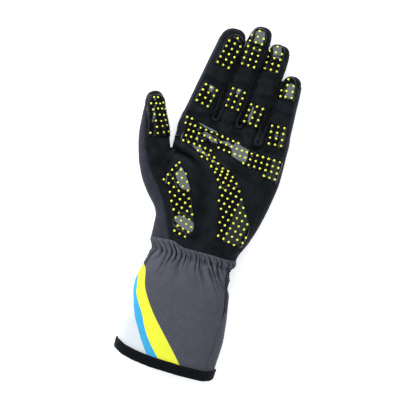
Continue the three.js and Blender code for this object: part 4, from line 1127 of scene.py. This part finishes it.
def cuff_skin():
    """The cuff as a tube with its gathers: points with the cloth's own coordinates, and faces."""
    if "cuff" in GLOVE:
        return GLOVE["cuff"]
    count = 400
    stations = np.concatenate([np.arange(-36, -72, -0.7), np.arange(-72, -152, -1.4)])
    rows, marks = [], []
    for y in stations:
        ring = cuff_ring(y, count)
        rows.append(np.column_stack([ring[:, 0], np.full(count, y), ring[:, 1]]))
        share = np.linspace(0, 1, count, endpoint=False)
        marks.append(np.column_stack([share * CUFF_GIRTH, np.full(count, y)]))
    points = np.concatenate(rows)
    marks = np.concatenate(marks)
    level = np.arange(len(stations) - 1)[:, None] * count
    turn = np.arange(count)[None]
    after = (turn + 1) % count
    quads = np.stack([level + turn, level + count + turn, level + count + after, level + after], -1)
    faces = triangles(points, quads.reshape(-1, 4))
    normal = normals(points, faces)
    if (normal[:, 2] * (points[:, 2] - 12)).sum() < 0:
        faces = faces[:, ::-1]
        normal = -normal
    # Around the cuff, 54 is the little finger's side, 107 the middle of the front and 161 the thumb's side.
    around, y = marks.T
    flat = np.column_stack([around, y, 0 * y])
    bend = rough(flat * [1, 1.1, 1], 15, 5)
    elastic = ELASTIC_Y + 0.9 * rough(np.column_stack([around, 0 * y, 0 * y]), 8, 21)
    above, below = np.maximum(y - elastic, 0), np.maximum(elastic - y, 0)
    round_turn = np.hypot(y - elastic, 3.2)
    rise, fall = (round_turn + y - elastic) / 2, (round_turn - y + elastic) / 2
    # Each pucker starts at the elastic, leans towards the thumb above it and fans out below it.
    foot = around - np.interp(around, [70, 105, 118, 140], [1.25, 1.1, 0.6, 0.1]) * rise
    foot = foot + np.interp(around, [70, 105, 145], [0.6, 0.3, -0.25]) * fall
    level = np.column_stack([foot, 0 * y, 0 * y])
    phase = foot / 6.3 + 0.7 * bend + 0.75 * rough(level, 11, 23)
    pinch = 2 * np.abs(np.sin(math.pi * phase)) ** 0.7 - 1
    fold = 2 * np.abs(np.sin(math.pi * phase)) ** 1.1 - 1
    broad = 2 * np.abs(np.sin(math.pi * (foot / 9.0 + 1.2 * rough(level, 12, 31)))) ** 1.2 - 1
    uneven = np.clip(0.85 + 1.7 * rough(level, 7, 8), 0.25, 1.6)
    reach = np.clip(11 + 20 * rough(level, 9, 11), 5, 24)
    sides = np.interp(around, [62, 84, 118, 148], [1.2, 0.75, 0.85, 1.35])
    seam_fade = np.clip((wrist_line(points[:, 0]) - 0.8 - y) / 3.2, 0, 1)
    tight = np.where(above > 0, 0.35 + 0.65 * seam_fade, np.exp(-(below / 5.5) ** 2))
    loose = np.exp(-(below / reach) ** 2) * (above <= 0)
    long = np.exp(-((below - 4) / (8 + 0.8 * reach)) ** 2)
    long *= np.clip(0.75 + 1.1 * rough(level, 14, 14), 0.3, 1.3)
    small = np.sin(2 * math.pi * foot / 3.0 + 5 * bend) * np.exp(-((y - elastic) / 2.6) ** 2)
    depth = sizes().gather_depth / MM
    pleat = 0.62 * pinch * uneven * tight + 0.36 * fold * uneven * loose * (1 - tight) + 0.25 * small
    pleat += (0.62 * broad - 0.1) * long * sides * (below > 0) * np.clip(below / 4, 0, 1)
    pleat -= (0.22 + 0.45 * np.clip(-pinch, 0, 1) * uneven) * np.exp(-((y - elastic - 0.6) / 2.0) ** 2)
    push = depth * pleat
    push += 0.55 * np.exp(-((wrist_line(points[:, 0]) - 1.9 - y) / 1.3) ** 2)
    push += 0.45 * rough(flat * [1, 0.6, 1], 24, 6) * np.clip((-60 - y) / 20, 0, 1)
    # The knit strip lets the side sag in and out below the elastic.
    at_side = np.clip((points[:, 0] - 20) / 6, 0, 1)
    push += at_side * (1.1 * np.exp(-((y + 59.5) / 3.5) ** 2) - 1.3 * np.exp(-((y + 66) / 4) ** 2)
                       + 0.1 * np.exp(-((y + 73.5) / 4) ** 2))
    slack = 0.7 * rough(points, 30, 7) * np.clip((-60 - y) / 30, 0, 1) * np.clip((y + 146) / 12, 0, 1)
    push = (push + slack) * np.where(points[:, 2] < 1.6, 0.15, 1.0)
    points = points + normal * push[:, None]
    points[:, 2] = np.maximum(points[:, 2], 0.05)
    GLOVE["cuff_rows"] = points.reshape(-1, count, 3), normals(points, faces).reshape(-1, count, 3)
    # The last column is the pleats' painted shade and highlight, which the cloth's colour reads.
    GLOVE["cuff"] = (np.column_stack([points, marks, np.clip(1.15 * pleat, -1, 0.25)]), faces)
    return GLOVE["cuff"]


def beyond_line(points, path):
    """More than 0 on the thumb's side of a line that runs from the wrist to the hem."""
    far, side = to_path(points, curve(path, 4))
    return np.where(side > 0, far, -far)


class GLOVE_OT_cuff(bpy.types.Operator):
    """Makes the cuff's gathered front with its printed stripes, its back and the knit strip at its side"""

    bl_idname = "glove.cuff"
    bl_label = "Cuff panels"

    def execute(self, context):
        GLOVE.pop("cuff", None)
        data, faces = cuff_skin()

        def fields(p):
            """More than 0 on the cuff's front, and more than 0 on the knit strip."""
            x, y, z = p[:, :3].T
            seam = through(SIDE, "seam", y)
            front = np.minimum(z - 0.42 * through(CUFF, "depth", y), np.where(z > 6, seam - x, -1.0))
            strip = z - through(SIDE, "low", y)
            return front, strip

        lines = [
            lambda p: wrist_line(p[:, 0]) - 0.1 - p[:, 1],
            lambda p: p[:, 1] - hem_line(p[:, 0]) - 1.4,
            lambda p: fields(p)[0],
            lambda p: fields(p)[1],
            lambda p: beyond_line(p, YELLOW_FROM),
            lambda p: beyond_line(p, YELLOW_TO),
            lambda p: beyond_line(p, BLUE_TO),
        ]
        for line in lines:
            data, faces = cut(data, faces, line(data))
        centre = data[faces].mean(1)
        keep = (lines[0](centre) > 0) & (lines[1](centre) > 0)
        data, faces, _ = trimmed(data, faces, keep)
        around = data[faces][:, :, 3]
        wrapped = around.max(1) - around.min(1) > 100
        centre = data[faces].mean(1)
        front, strip = fields(centre)
        panel = np.where(front > 0, 0, np.where(strip > 0, 2, 1))
        short_of = [beyond_line(centre, path) < 0 for path in (YELLOW_FROM, YELLOW_TO, BLUE_TO)]
        printed = np.select(short_of, [0, 1, 2], 3)
        printed[front <= 0] = 0
        points = tucked(data[:, :3], faces, panel, 0.6, 1.7)
        data = np.column_stack([points, data[:, 3:]])
        names = [("cuff_front_cloth", "cuff_front"), ("cuff_back_cloth", "cuff_back"),
                 ("cuff_knit", "cuff_stretch")]
        cloth = [finish(name) for name in ("cloth_grey", "print_yellow", "print_blue", "print_white")]
        for number, (name, node) in enumerate(names):
            mine = panel == number
            part, own, _ = trimmed(data, faces, mine)
            uv = part[:, 3:5].copy()
            slots = printed[mine] if number < 2 else np.zeros(mine.sum(), int)
            slots = np.where(wrapped[mine], 0, slots)
            materials = cloth if number < 2 else [finish("knit")]
            piece = smooth_mesh(name, part[:, :3], own, materials, uv, slots)
            # Painted shade and highlight of the pleats, for the cloth's colour.
            fold = piece.data.attributes.new("fold", "FLOAT", "POINT")
            fold.data.foreach_set("value", part[:, 5].astype(np.float32))
            thickened(piece, sizes().cloth_wall / MM)
            placed_for(piece, (node,))
        return {"FINISHED"}


class GLOVE_OT_binding(bpy.types.Operator):
    """Folds the elastic binding over the cuff's hem"""

    bl_idname = "glove.binding"
    bl_label = "Hem binding"

    def execute(self, context):
        count = 240
        section = curve([*BINDING_FOLD, BINDING_FOLD[0]], 3)[:-1]
        rows, marks = [], []
        base = cuff_ring(-140, count)
        after, before = np.roll(base, -1, 0), np.roll(base, 1, 0)
        tangent = after - before
        out = np.column_stack([tangent[:, 1], -tangent[:, 0]])
        out /= np.linalg.norm(out, axis=1)[:, None]
        middle = base.mean(0)
        if ((base - middle) * out).sum() < 0:
            out = -out
        wave = 0.25 * rough(np.column_stack([base * 1.0, 0 * base[:, 0]]), 14, 3)
        for step, (away, up) in enumerate(section):
            x = base[:, 0] + out[:, 0] * (away + wave)
            z = base[:, 1] + out[:, 1] * (away + wave)
            z = np.maximum(z, 0.05 if away > 0 else 1.3 - 0.5 * away)
            y = hem_line(x) + up
            rows.append(np.column_stack([x, y, z]))
            around = np.linspace(0, BINDING_GIRTH, count, endpoint=False)
            marks.append(np.column_stack([around, np.full(count, step * 0.9)]))
        points = np.concatenate(rows)
        level = np.arange(len(section))[:, None] * count
        above = (np.arange(len(section))[:, None] + 1) % len(section) * count
        turn = np.arange(count)[None]
        after = (turn + 1) % count
        quads = np.stack([level + turn, level + after, above + after, above + turn], -1).reshape(-1, 4)
        faces = triangles(points, quads)
        GLOVE["hem_seam"] = rows[SEAM_RING], np.column_stack([out[:, 0], 0 * out[:, 0], out[:, 1]])
        piece = smooth_mesh("hem_binding", points, faces, [finish("elastic")], np.concatenate(marks))
        outwards(piece)
        placed_for(piece, ("cuff_binding",))
        return {"FINISHED"}


def outwards(piece):
    """Turns the faces of a closed piece outwards."""
    shape = bmesh.new()
    shape.from_mesh(piece.data)
    bmesh.ops.recalc_face_normals(shape, faces=shape.faces)
    shape.to_mesh(piece.data)
    shape.free()


def finger_frame(row):
    """Where a finger's patch starts, and the ways across it and up it."""
    lean = math.radians(row["lean"])
    up = np.array([math.sin(lean), math.cos(lean)])
    side = np.array([up[1], -up[0]])
    return np.array([row["x"], row["y"]]), side, up


def finger_outline(row):
    """The outline of a finger's patch, square at its foot and domed at a fingertip."""
    foot, side, up = finger_frame(row)
    half = DOT_PITCH + 2.1
    tall = (row["dots"][0] - 1) * DOT_PITCH
    flat = [(-half, -2.3), (half, -2.3)]
    if row["domed"]:
        flat += [(half * math.cos(a), tall + 0.6 + 6.9 * math.sin(a)) for a in np.linspace(0, math.pi, 13)]
    else:
        flat += [(half, tall + 2.3), (-half, tall + 2.3)]
    outline = np.array([foot + side * a + up * b for a, b in flat])
    return outline if row["domed"] else rounded(outline, 1.0)


def finger_dots(row):
    """The places of a finger's dots, column by column."""
    foot, side, up = finger_frame(row)
    # The left column of a narrow finger stands closer to the middle one.
    across = (-DOT_PITCH * 1.02 * row.get("close", 1.0), 0.0, DOT_PITCH * 1.02)
    return [foot + side * across[column] + up * DOT_PITCH * 0.99 * k
            for column, count in enumerate(row["dots"]) for k in range(count)]


def row_dots(rows, last):
    """Dots in rows across the palm, which bend as the suede does."""
    spots = []
    for row in range(last + 1):
        x0, y0, slope, bend, lag = (
            through(rows, key, np.array([float(row)]))[0] for key in ("x", "y", "slope", "bend", "lag"))
        for column in range(-16, 12):
            left = max(-column, 0)
            x = x0 + 4.85 * column + lag * (math.tanh(left / 3) + 0.3 * max(left - 11, 0))
            y = y0 + slope * (x - x0) + bend * 2.7 * (1 - math.tanh((x + 12) / 20))
            # Where rows run together, the print keeps only the first dot.
            if all(math.hypot(x - other[0], y - other[1]) > 2.1 for other in spots[-60:]):
                spots.append((x, y))
    return np.array(spots)


def thumb_patch_inset(p):
    """How far inside the thumb's patch points lie, by their place along, across and above the thumb."""
    along, across, up, half, thick = on_thumb(p)
    end = THUMB_LENGTH
    foot = along - 0.613 * end - 0.03 * across
    crown = 0.965 * end - along - 0.05 * (across + 2) ** 2
    left = across + (0.8 + 1.6 * np.clip(along / end - 0.72, 0, 0.2)) * half
    right = 1.1 * half - across
    return np.minimum(np.minimum(foot, crown), np.minimum(np.minimum(left, right), (up - 0.25 * thick) * 1.2))


def thumb_dots():
    """Dots in rows across the thumb's pad, by length along it and place across it."""
    spots = []
    for row in range(7):
        share = row / 6
        # The outer columns stop short where the pad turns away.
        for column in range(min(row, 1), 5 if row in (0, 3, 4, 5) else 4):
            length = 0.6425 * THUMB_LENGTH + 4.6 * row + 0.8 * (column - 2) * (1 - share)
            across = (5.7 * column - 9.3) * (1 - share) + (2.8 * column - 10.6) * share - 0.3
            spots.append((length, across))
    return spots


def patch_fields():
    """The patches: name, CAD node, and how far inside its outline a point on the skin lies."""
    band, branch, thenar = ribbon(BAND), ribbon(BRANCH), rounded(THENAR, 0.8, 3)
    upper = lambda p, inside: np.where(p[:, 2] > 8.5, inside, -3.0)
    patches = [
        ("palm_grip", "palm_patch", lambda p: upper(p, np.maximum(inset(p, band), inset(p, branch)))),
        ("thenar_grip", "thenar_patch", lambda p: upper(p, inset(p, thenar))),
        ("thumb_grip", "thumb_patch", thumb_patch_inset),
    ]
    for row in FINGER_PATCHES:
        outline = finger_outline(row)
        # The print stays on the finger's flat side and stops where the finger turns down.
        patches.append((row["node"].replace("_patch", "_grip"), row["node"],
                        lambda p, o=outline: np.minimum(inset(p, o), 0.8 * (p[:, 2] - 11.8))))
    return patches


def halved(points, faces):
    """Each triangle as four."""
    edges = np.concatenate([faces[:, [0, 1]], faces[:, [1, 2]], faces[:, [2, 0]]])
    unique, back = np.unique(np.sort(edges, axis=1), axis=0, return_inverse=True)
    back = back.reshape(-1) + len(points)
    n = len(faces)
    ab, bc, ca = back[:n], back[n:2 * n], back[2 * n:]
    a, b, c = faces.T
    middle = (points[unique[:, 0]] + points[unique[:, 1]]) / 2
    parts = [np.stack(t, 1) for t in ((a, ab, ca), (ab, b, bc), (ca, bc, c), (ab, bc, ca))]
    return np.concatenate([points, middle]), np.concatenate(parts)


class GLOVE_OT_patches(bpy.types.Operator):
    """Prints the glossy grip patches on the palm, thumb and fingers"""

    bl_idname = "glove.patches"
    bl_label = "Grip patches"

    def execute(self, context):
        points, faces, panel = hand()
        raised = sizes().patch_height / MM
        for name, node, inside in patch_fields():
            # The print is cut from a finer copy of the suede and raised, with its edge rounded.
            near = (panel == 0) & (inside(points)[faces].max(1) > -2)
            part, own, _ = trimmed(points, faces, near)
            part, own = halved(part, own)
            normal = normals(part, own)
            data = np.column_stack([part, normal])
            data, own = cut(data, own, inside(data[:, :3]))
            keep = inside(data[own].mean(1)[:, :3]) > 0
            data, own, _ = trimmed(data, own, keep)
            depth = np.clip(inside(data[:, :3]) / 0.7, 0, 1)
            height = raised * np.sqrt(1 - (1 - depth) ** 2) + 0.05
            shape = data[:, :3] + data[:, 3:] * height[:, None]
            piece = smooth_mesh(name, shape, own, [finish("silicone_black")])
            thickened(piece, 0.5)
            placed_for(piece, (node,))
            GLOVE.setdefault("grip", {})[name] = (shape, own)
        return {"FINISHED"}


def tree_with_inputs(name, lengths, seed_value):
    """A Geometry Nodes tree with named inputs for its sizes, seed and material, and its first node."""
    tree = bpy.data.node_groups.new(name, "GeometryNodeTree")
    face = tree.interface
    face.new_socket("Geometry", in_out="INPUT", socket_type="NodeSocketGeometry")
    for key, value in lengths.items():
        socket = face.new_socket(key, in_out="INPUT", socket_type="NodeSocketFloat")
        socket.default_value = value
    seed = face.new_socket("Seed", in_out="INPUT", socket_type="NodeSocketInt")
    seed.default_value = seed_value
    face.new_socket("Material", in_out="INPUT", socket_type="NodeSocketMaterial")
    face.new_socket("Geometry", in_out="OUTPUT", socket_type="NodeSocketGeometry")
    return tree, add(tree, "NodeGroupInput")


def turned_to(tree, name, axis, settings=None, links=None):
    """A rotation that turns an axis to the way that each point holds under a name."""
    way = add(tree, "GeometryNodeInputNamedAttribute", {"data_type": "FLOAT_VECTOR"}, {"Name": name})
    return add(tree, "FunctionNodeAlignRotationToVector", {"axis": axis, **(settings or {})},
               links={"Vector": way.outputs["Attribute"], **(links or {})}).outputs["Rotation"]


def spread_out(tree, start, shape, turn, size):
    """Ends a tree: the shape on each point, turned and sized, then real geometry with its material."""
    spread = add(tree, "GeometryNodeInstanceOnPoints", links={
        "Points": start.outputs["Geometry"], "Instance": shape.outputs["Mesh"],
        "Rotation": turn, "Scale": size})
    real = add(tree, "GeometryNodeRealizeInstances", links={"Geometry": spread.outputs["Instances"]})
    smooth = add(tree, "GeometryNodeSetShadeSmooth", links={"Geometry": real.outputs["Geometry"]})
    paint = add(tree, "GeometryNodeSetMaterial",
                links={"Geometry": smooth.outputs["Geometry"], "Material": start.outputs["Material"]})
    add(tree, "NodeGroupOutput", links={"Geometry": paint.outputs["Geometry"]})
    return tree


def dot_tree():
    """Geometry Nodes: a dome on each point, turned to its normal, a little wider here and narrower there."""
    lengths = {"Width": 0.002, "Height": 0.0008, "Width variation": 0.06}
    tree, start = tree_with_inputs("printed_dots", lengths, 7)
    dome = add(tree, "GeometryNodeMeshUVSphere", values={"Segments": 10, "Rings": 5, "Radius": 1.0})
    turn = turned_to(tree, "facing", "Z")
    half = add(tree, "ShaderNodeMath", {"operation": "MULTIPLY"}, {1: 0.5}, {0: start.outputs["Width"]})
    varied = start.outputs["Width variation"]
    low = add(tree, "ShaderNodeMath", {"operation": "SUBTRACT"}, {0: 1.0}, {1: varied})
    high = add(tree, "ShaderNodeMath", {"operation": "ADD"}, {0: 1.0}, {1: varied})
    vary = add(tree, "FunctionNodeRandomValue", {"data_type": "FLOAT"},
               links={2: low.outputs[0], 3: high.outputs[0], "Seed": start.outputs["Seed"]})
    wide = add(tree, "ShaderNodeMath", {"operation": "MULTIPLY"},
               links={0: half.outputs[0], 1: vary.outputs[1]}).outputs[0]
    size = add(tree, "ShaderNodeCombineXYZ", links={"X": wide, "Y": wide, "Z": start.outputs["Height"]})
    return spread_out(tree, start, dome, turn, size.outputs["Vector"])


def stitch_tree():
    """Geometry Nodes: a stitch on each point, flat on the cloth and along its seam."""
    tree, start = tree_with_inputs("seam_stitches", {"Length": 0.0024, "Width": 0.0005}, 3)
    bead = add(tree, "GeometryNodeMeshUVSphere", values={"Segments": 6, "Rings": 5, "Radius": 0.5})
    flat = turned_to(tree, "facing", "Z")
    turn = turned_to(tree, "along", "X", {"pivot_axis": "Z"}, {"Rotation": flat})
    vary = add(tree, "FunctionNodeRandomValue",
               {"data_type": "FLOAT"}, {2: 0.92, 3: 1.06}, {"Seed": start.outputs["Seed"]})
    long = add(tree, "ShaderNodeMath", {"operation": "MULTIPLY"},
               links={0: start.outputs["Length"], 1: vary.outputs[1]})
    size = add(tree, "ShaderNodeCombineXYZ",
               links={"X": long.outputs[0], "Y": start.outputs["Width"], "Z": start.outputs["Width"]})
    return spread_out(tree, start, bead, turn, size.outputs["Vector"])


def socket_of(tree, name):
    """The identifier of a tree's named input."""
    sockets = tree.interface.items_tree
    return next(socket.identifier for socket in sockets if socket.name == name and socket.in_out == "INPUT")


def made_plain(name, mesh, tree, values):
    """Runs a Geometry Nodes tree on a mesh and keeps the result as a plain mesh in a new piece."""
    carrier = bpy.data.objects.new(name + "_points", mesh)
    bpy.context.scene.collection.objects.link(carrier)
    nodes = carrier.modifiers.new("nodes", "NODES")
    nodes.node_group = tree
    for key, value in values.items():
        nodes[socket_of(tree, key)] = value
    bpy.context.view_layer.update()
    seen = carrier.evaluated_get(bpy.context.evaluated_depsgraph_get())
    plain = bpy.data.meshes.new_from_object(seen)
    carrier.modifiers.remove(nodes)
    bpy.data.objects.remove(carrier)
    plain.name = name
    piece = bpy.data.objects.new(name, plain)
    bpy.context.scene.collection.objects.link(piece)
    if not len(plain.vertices):
        raise RuntimeError(f"{name} came out empty")
    return piece


class GLOVE_OT_dots(bpy.types.Operator):
    """Prints the yellow dots on the grip patches"""

    bl_idname = "glove.dots"
    bl_label = "Grip dots"

    def execute(self, context):
        tree = dot_tree()
        fields = {name: inside for name, _, inside in patch_fields()}
        wanted = {"palm_grip": row_dots(PALM_DOTS, 19), "thenar_grip": row_dots(THENAR_DOTS, 10)}
        for row in FINGER_PATCHES:
            wanted[row["node"].replace("_patch", "_grip")] = np.array(finger_dots(row))
        groups = {"palm_dots": ("palm_grip", "thenar_grip")}
        groups["finger_dots"] = tuple(row["node"].replace("_patch", "_grip") for row in FINGER_PATCHES)
        groups["thumb_dots"] = ("thumb_grip",)
        for name, grips in groups.items():
            spots, facings = [], []
            for grip in grips:
                shape, own = GLOVE["grip"][grip]
                surface = BVHTree.FromPolygons(shape.tolist(), own.tolist())
                if grip == "thumb_grip":
                    hits = self.on_thumb(surface)
                else:
                    hits = [surface.ray_cast(Vector((x, y, 60)), Vector((0, 0, -1))) for x, y in wanted[grip]]
                    hits = [hit for hit in hits if hit[0] is not None]
                    room = fields[grip](np.array([hit[0] for hit in hits]))
                    hits = [hit for hit, gap in zip(hits, room) if gap > DOT_MARGIN]
                spots += [hit[0] for hit in hits]
                facings += [hit[1] for hit in hits]
            mesh = bpy.data.meshes.new(name)
            mesh.from_pydata([(Vector(p) * MM)[:] for p in spots], [], [])
            facing = mesh.attributes.new("facing", "FLOAT_VECTOR", "POINT")
            facing.data.foreach_set("vector", np.array(facings, np.float32).ravel())
            # The thumb's dots are printed a little smaller.
            width = sizes().dot_width * (0.87 if name == "thumb_dots" else 1.0)
            piece = made_plain(name, mesh, tree, {
                "Width": width, "Height": sizes().dot_height, "Width variation": 0.06, "Seed": 7,
                "Material": finish("silicone_yellow")})
            placed_for(piece, None)
        return {"FINISHED"}

    def on_thumb(self, surface):
        """Finds the places of the thumb's dots by looking at the pad from in front of it."""
        path, along, heading, _, _, z = thumb_axis()
        roll = math.radians(THUMB_ROLL)
        hits = []
        for length, across in thumb_dots():
            i = int(np.clip(round(length), 0, len(along) - 1))
            side = np.array([math.cos(heading[i]), math.sin(heading[i]), 0])
            over = side * math.sin(roll) + np.array([0, 0, math.cos(roll)])
            aside = side * math.cos(roll) - np.array([0, 0, math.sin(roll)])
            middle = np.array([*path[i], z[i]])
            hit = surface.ray_cast(Vector(middle + aside * across + over * 40), Vector(-over))
            if hit[0] is not None and thumb_patch_inset(np.array([hit[0]]))[0] > THUMB_DOT_MARGIN:
                hits.append(hit)
        return hits


def spaced(path, facing, pitch):
    """Evenly spaced places on a path: where, the cloth's normal there, and the way along."""
    step = np.linalg.norm(np.diff(path, axis=0), axis=1)
    length = np.concatenate([[0], np.cumsum(step)])
    at = np.arange(pitch / 2, length[-1] - pitch / 4, pitch)
    where = np.stack([np.interp(at, length, path[:, k]) for k in range(3)], 1)
    normal = np.stack([np.interp(at, length, facing[:, k]) for k in range(3)], 1)
    ahead = np.stack([np.interp(at + 0.6, length, path[:, k]) for k in range(3)], 1) - where
    return where, normal, ahead


class GLOVE_OT_stitches(bpy.types.Operator):
    """Sews the stitches that show along the wrist seam, the cuff's side, the hem and the thumb"""

    bl_idname = "glove.stitches"
    bl_label = "Stitches"

    def execute(self, context):
        pitch = sizes().stitch_pitch / MM
        tree = stitch_tree()
        for name, material, slot, seams in (
                ("cuff_stitches", "thread_grey", "grey_cloth", [self.wrist(), self.side()]),
                ("hem_stitches", "thread_black", "binding_elastic", [self.hem()]),
                ("thumb_stitches", "thread_black", "black_suede", [self.thumb()])):
            found = [spaced(path, facing, pitch) for path, facing in seams]
            where, normal, ahead = (np.concatenate(parts) for parts in zip(*found))
            mesh = bpy.data.meshes.new(name)
            mesh.from_pydata((where * MM).tolist(), [], [])
            for key, values in (("facing", normal), ("along", ahead)):
                layer = mesh.attributes.new(key, "FLOAT_VECTOR", "POINT")
                layer.data.foreach_set("vector", values.astype(np.float32).ravel())
            piece = made_plain(name, mesh, tree, {
                "Length": 0.78 * sizes().stitch_pitch, "Width": sizes().thread_width, "Seed": 3,
                "Material": finish(material)})
            placed_for(piece, None)
        return {"FINISHED"}

    def wrist(self):
        """The row of stitches round the cuff just below the wrist seam."""
        cuff_skin()
        rows, facing = GLOVE["cuff_rows"]
        down = wrist_line(rows[:, :, 0]) - 1.9 - rows[:, :, 1]
        nearest = np.abs(down).argmin(0)
        turn = np.arange(rows.shape[1])
        keep = rows[nearest, turn][:, 2] > 1.5
        return rows[nearest, turn][keep], facing[nearest, turn][keep]

    def side(self):
        """The row beside the cuff's side seam, from the knit strip to the hem."""
        data, faces = cuff_skin()
        surface = BVHTree.FromPolygons(data[:, :3].tolist(), faces.tolist())
        down = np.arange(-93.0, -136.0, -1.0)
        return found_below(surface, through(SIDE, "seam", down) - 1.5, down)

    def hem(self):
        """The row that holds the binding, near its upper edge."""
        path, facing = GLOVE["hem_seam"]
        keep = path[:, 2] > 1.0
        start = int(np.flatnonzero(~keep)[-1]) + 1 if (~keep).any() else 0
        order = np.roll(np.arange(len(path)), -start)
        order = order[keep[order]]
        return path[order], facing[order]

    def thumb(self):
        """The row on the suede beside the seam up the outside of the thumb."""
        points, faces, _ = hand()
        surface = BVHTree.FromPolygons(points.tolist(), faces.tolist())
        path = curve(BACK_SEAM[1:-2], 6)
        ahead = np.gradient(path, axis=0)
        ahead /= np.linalg.norm(ahead, axis=1)[:, None]
        inner = path + 1.7 * np.column_stack([ahead[:, 1], -ahead[:, 0]])
        return found_below(surface, inner[:, 0], inner[:, 1])


def found_below(surface, xs, ys):
    """Places on a surface under points seen from above, with its normals there."""
    hits = [surface.ray_cast(Vector((x, y, 60)), Vector((0, 0, -1))) for x, y in zip(xs, ys)]
    hits = [hit for hit in hits if hit[0] is not None]
    return np.array([hit[0] for hit in hits]), np.array([hit[1] for hit in hits])


class GLOVE_OT_stage(bpy.types.Operator):
    """Sets the floor, the soft studio lights and the camera above the glove"""

    bl_idname = "glove.stage"
    bl_label = "Stage"

    def execute(self, context):
        scene = context.scene
        mesh = bpy.data.meshes.new("floor")
        square = ((-1, -1), (1, -1), (1, 1), (-1, 1))
        corners = [(x * FLOOR_HALF, y * FLOOR_HALF, -FLOOR_DROP) for x, y in square]
        mesh.from_pydata(corners, [], [(0, 1, 2, 3)])
        paper, tree, shader = blank("White seamless paper", 0.9, specular=0.2)
        coords = add(tree, "ShaderNodeTexCoord").outputs["Object"]
        colour, _ = mottled(tree, *shades(context.scene.glove_colours.paper, 0.02), 12, 2, coords)
        tree.links.new(colour, shader.inputs["Base Color"])
        tree.links.new(colour, shader.inputs["Emission Color"])
        # The paper is lit from behind too, as it is for a cut-out photograph.
        shader.inputs["Emission Strength"].default_value = 0.6
        mesh.materials.append(paper)
        floor = bpy.data.objects.new("floor", mesh)
        scene.collection.objects.link(floor)

        world = bpy.data.worlds.new("studio")
        world.use_nodes = True
        world.node_tree.nodes["Background"].inputs["Color"].default_value = (1, 1, 1, 1)
        world.node_tree.nodes["Background"].inputs["Strength"].default_value = 0.09
        scene.world = world
        for row in SOFT_BOXES + CARDS:
            mirrored = row in CARDS
            light = bpy.data.lights.new(row["name"], "AREA")
            light.shape = "RECTANGLE"
            light.size, light.size_y = row["wide"], row["tall"]
            light.energy = row["power"]
            light.color = (0.86, 0.98, 1.0) if mirrored else (0.94, 0.98, 1.0)
            lamp = bpy.data.objects.new(row["name"], light)
            lamp.location = row["at"]
            lamp.rotation_euler = (Vector((0, 0, 0)) - Vector(row["at"])).to_track_quat("-Z", "Y").to_euler()
            lamp.visible_glossy = mirrored
            scene.collection.objects.link(lamp)

        lens = bpy.data.cameras.new("camera")
        lens.sensor_width = 36
        lens.lens = 150
        # The photograph was taken from straight above, with the glove turned.
        across = PIXELS_ACROSS * MM_PER_PIXEL * MM
        distance = lens.lens / lens.sensor_width * across
        camera = bpy.data.objects.new("camera", lens)
        camera.location = (-4.5 * MM, -6.3 * MM, distance + 12 * MM)
        camera.rotation_euler = (0, 0, math.radians(PHOTO_TURN))
        lens.clip_end = 20
        scene.collection.objects.link(camera)
        scene.camera = camera
        scene.view_settings.view_transform = "Standard"
        return {"FINISHED"}


class GLOVE_PT_panel(bpy.types.Panel):
    """Lists the glove's sizes, colours and operators in the sidebar"""

    bl_label = "Karting glove"
    bl_space_type = "VIEW_3D"
    bl_region_type = "UI"
    bl_category = "Glove"

    def draw(self, context):
        column = self.layout.column()
        for group in (context.scene.glove_sizes, context.scene.glove_colours):
            for key in group.__annotations__:
                column.prop(group, key)
        for operator in OPERATORS:
            column.operator(operator.bl_idname)


OPERATORS = (
    GLOVE_OT_hand,
    GLOVE_OT_cuff,
    GLOVE_OT_binding,
    GLOVE_OT_patches,
    GLOVE_OT_dots,
    GLOVE_OT_stitches,
    GLOVE_OT_stage,
)
CLASSES = (GloveSizes, GloveColours, *OPERATORS, GLOVE_PT_panel)


def register():
    """Makes the classes and the scene's properties known to Blender."""
    for kind in CLASSES:
        bpy.utils.register_class(kind)
    bpy.types.Scene.glove_sizes = bpy.props.PointerProperty(type=GloveSizes)
    bpy.types.Scene.glove_colours = bpy.props.PointerProperty(type=GloveColours)


def unregister():
    """Takes away what register made."""
    del bpy.types.Scene.glove_colours
    del bpy.types.Scene.glove_sizes
    for kind in reversed(CLASSES):
        bpy.utils.unregister_class(kind)


def main():
    """Builds the glove and its stage."""
    register()
    for operator in OPERATORS:
        group, name = operator.bl_idname.split(".")
        getattr(getattr(bpy.ops, group), name)()


if __name__ == "__main__":
    main()
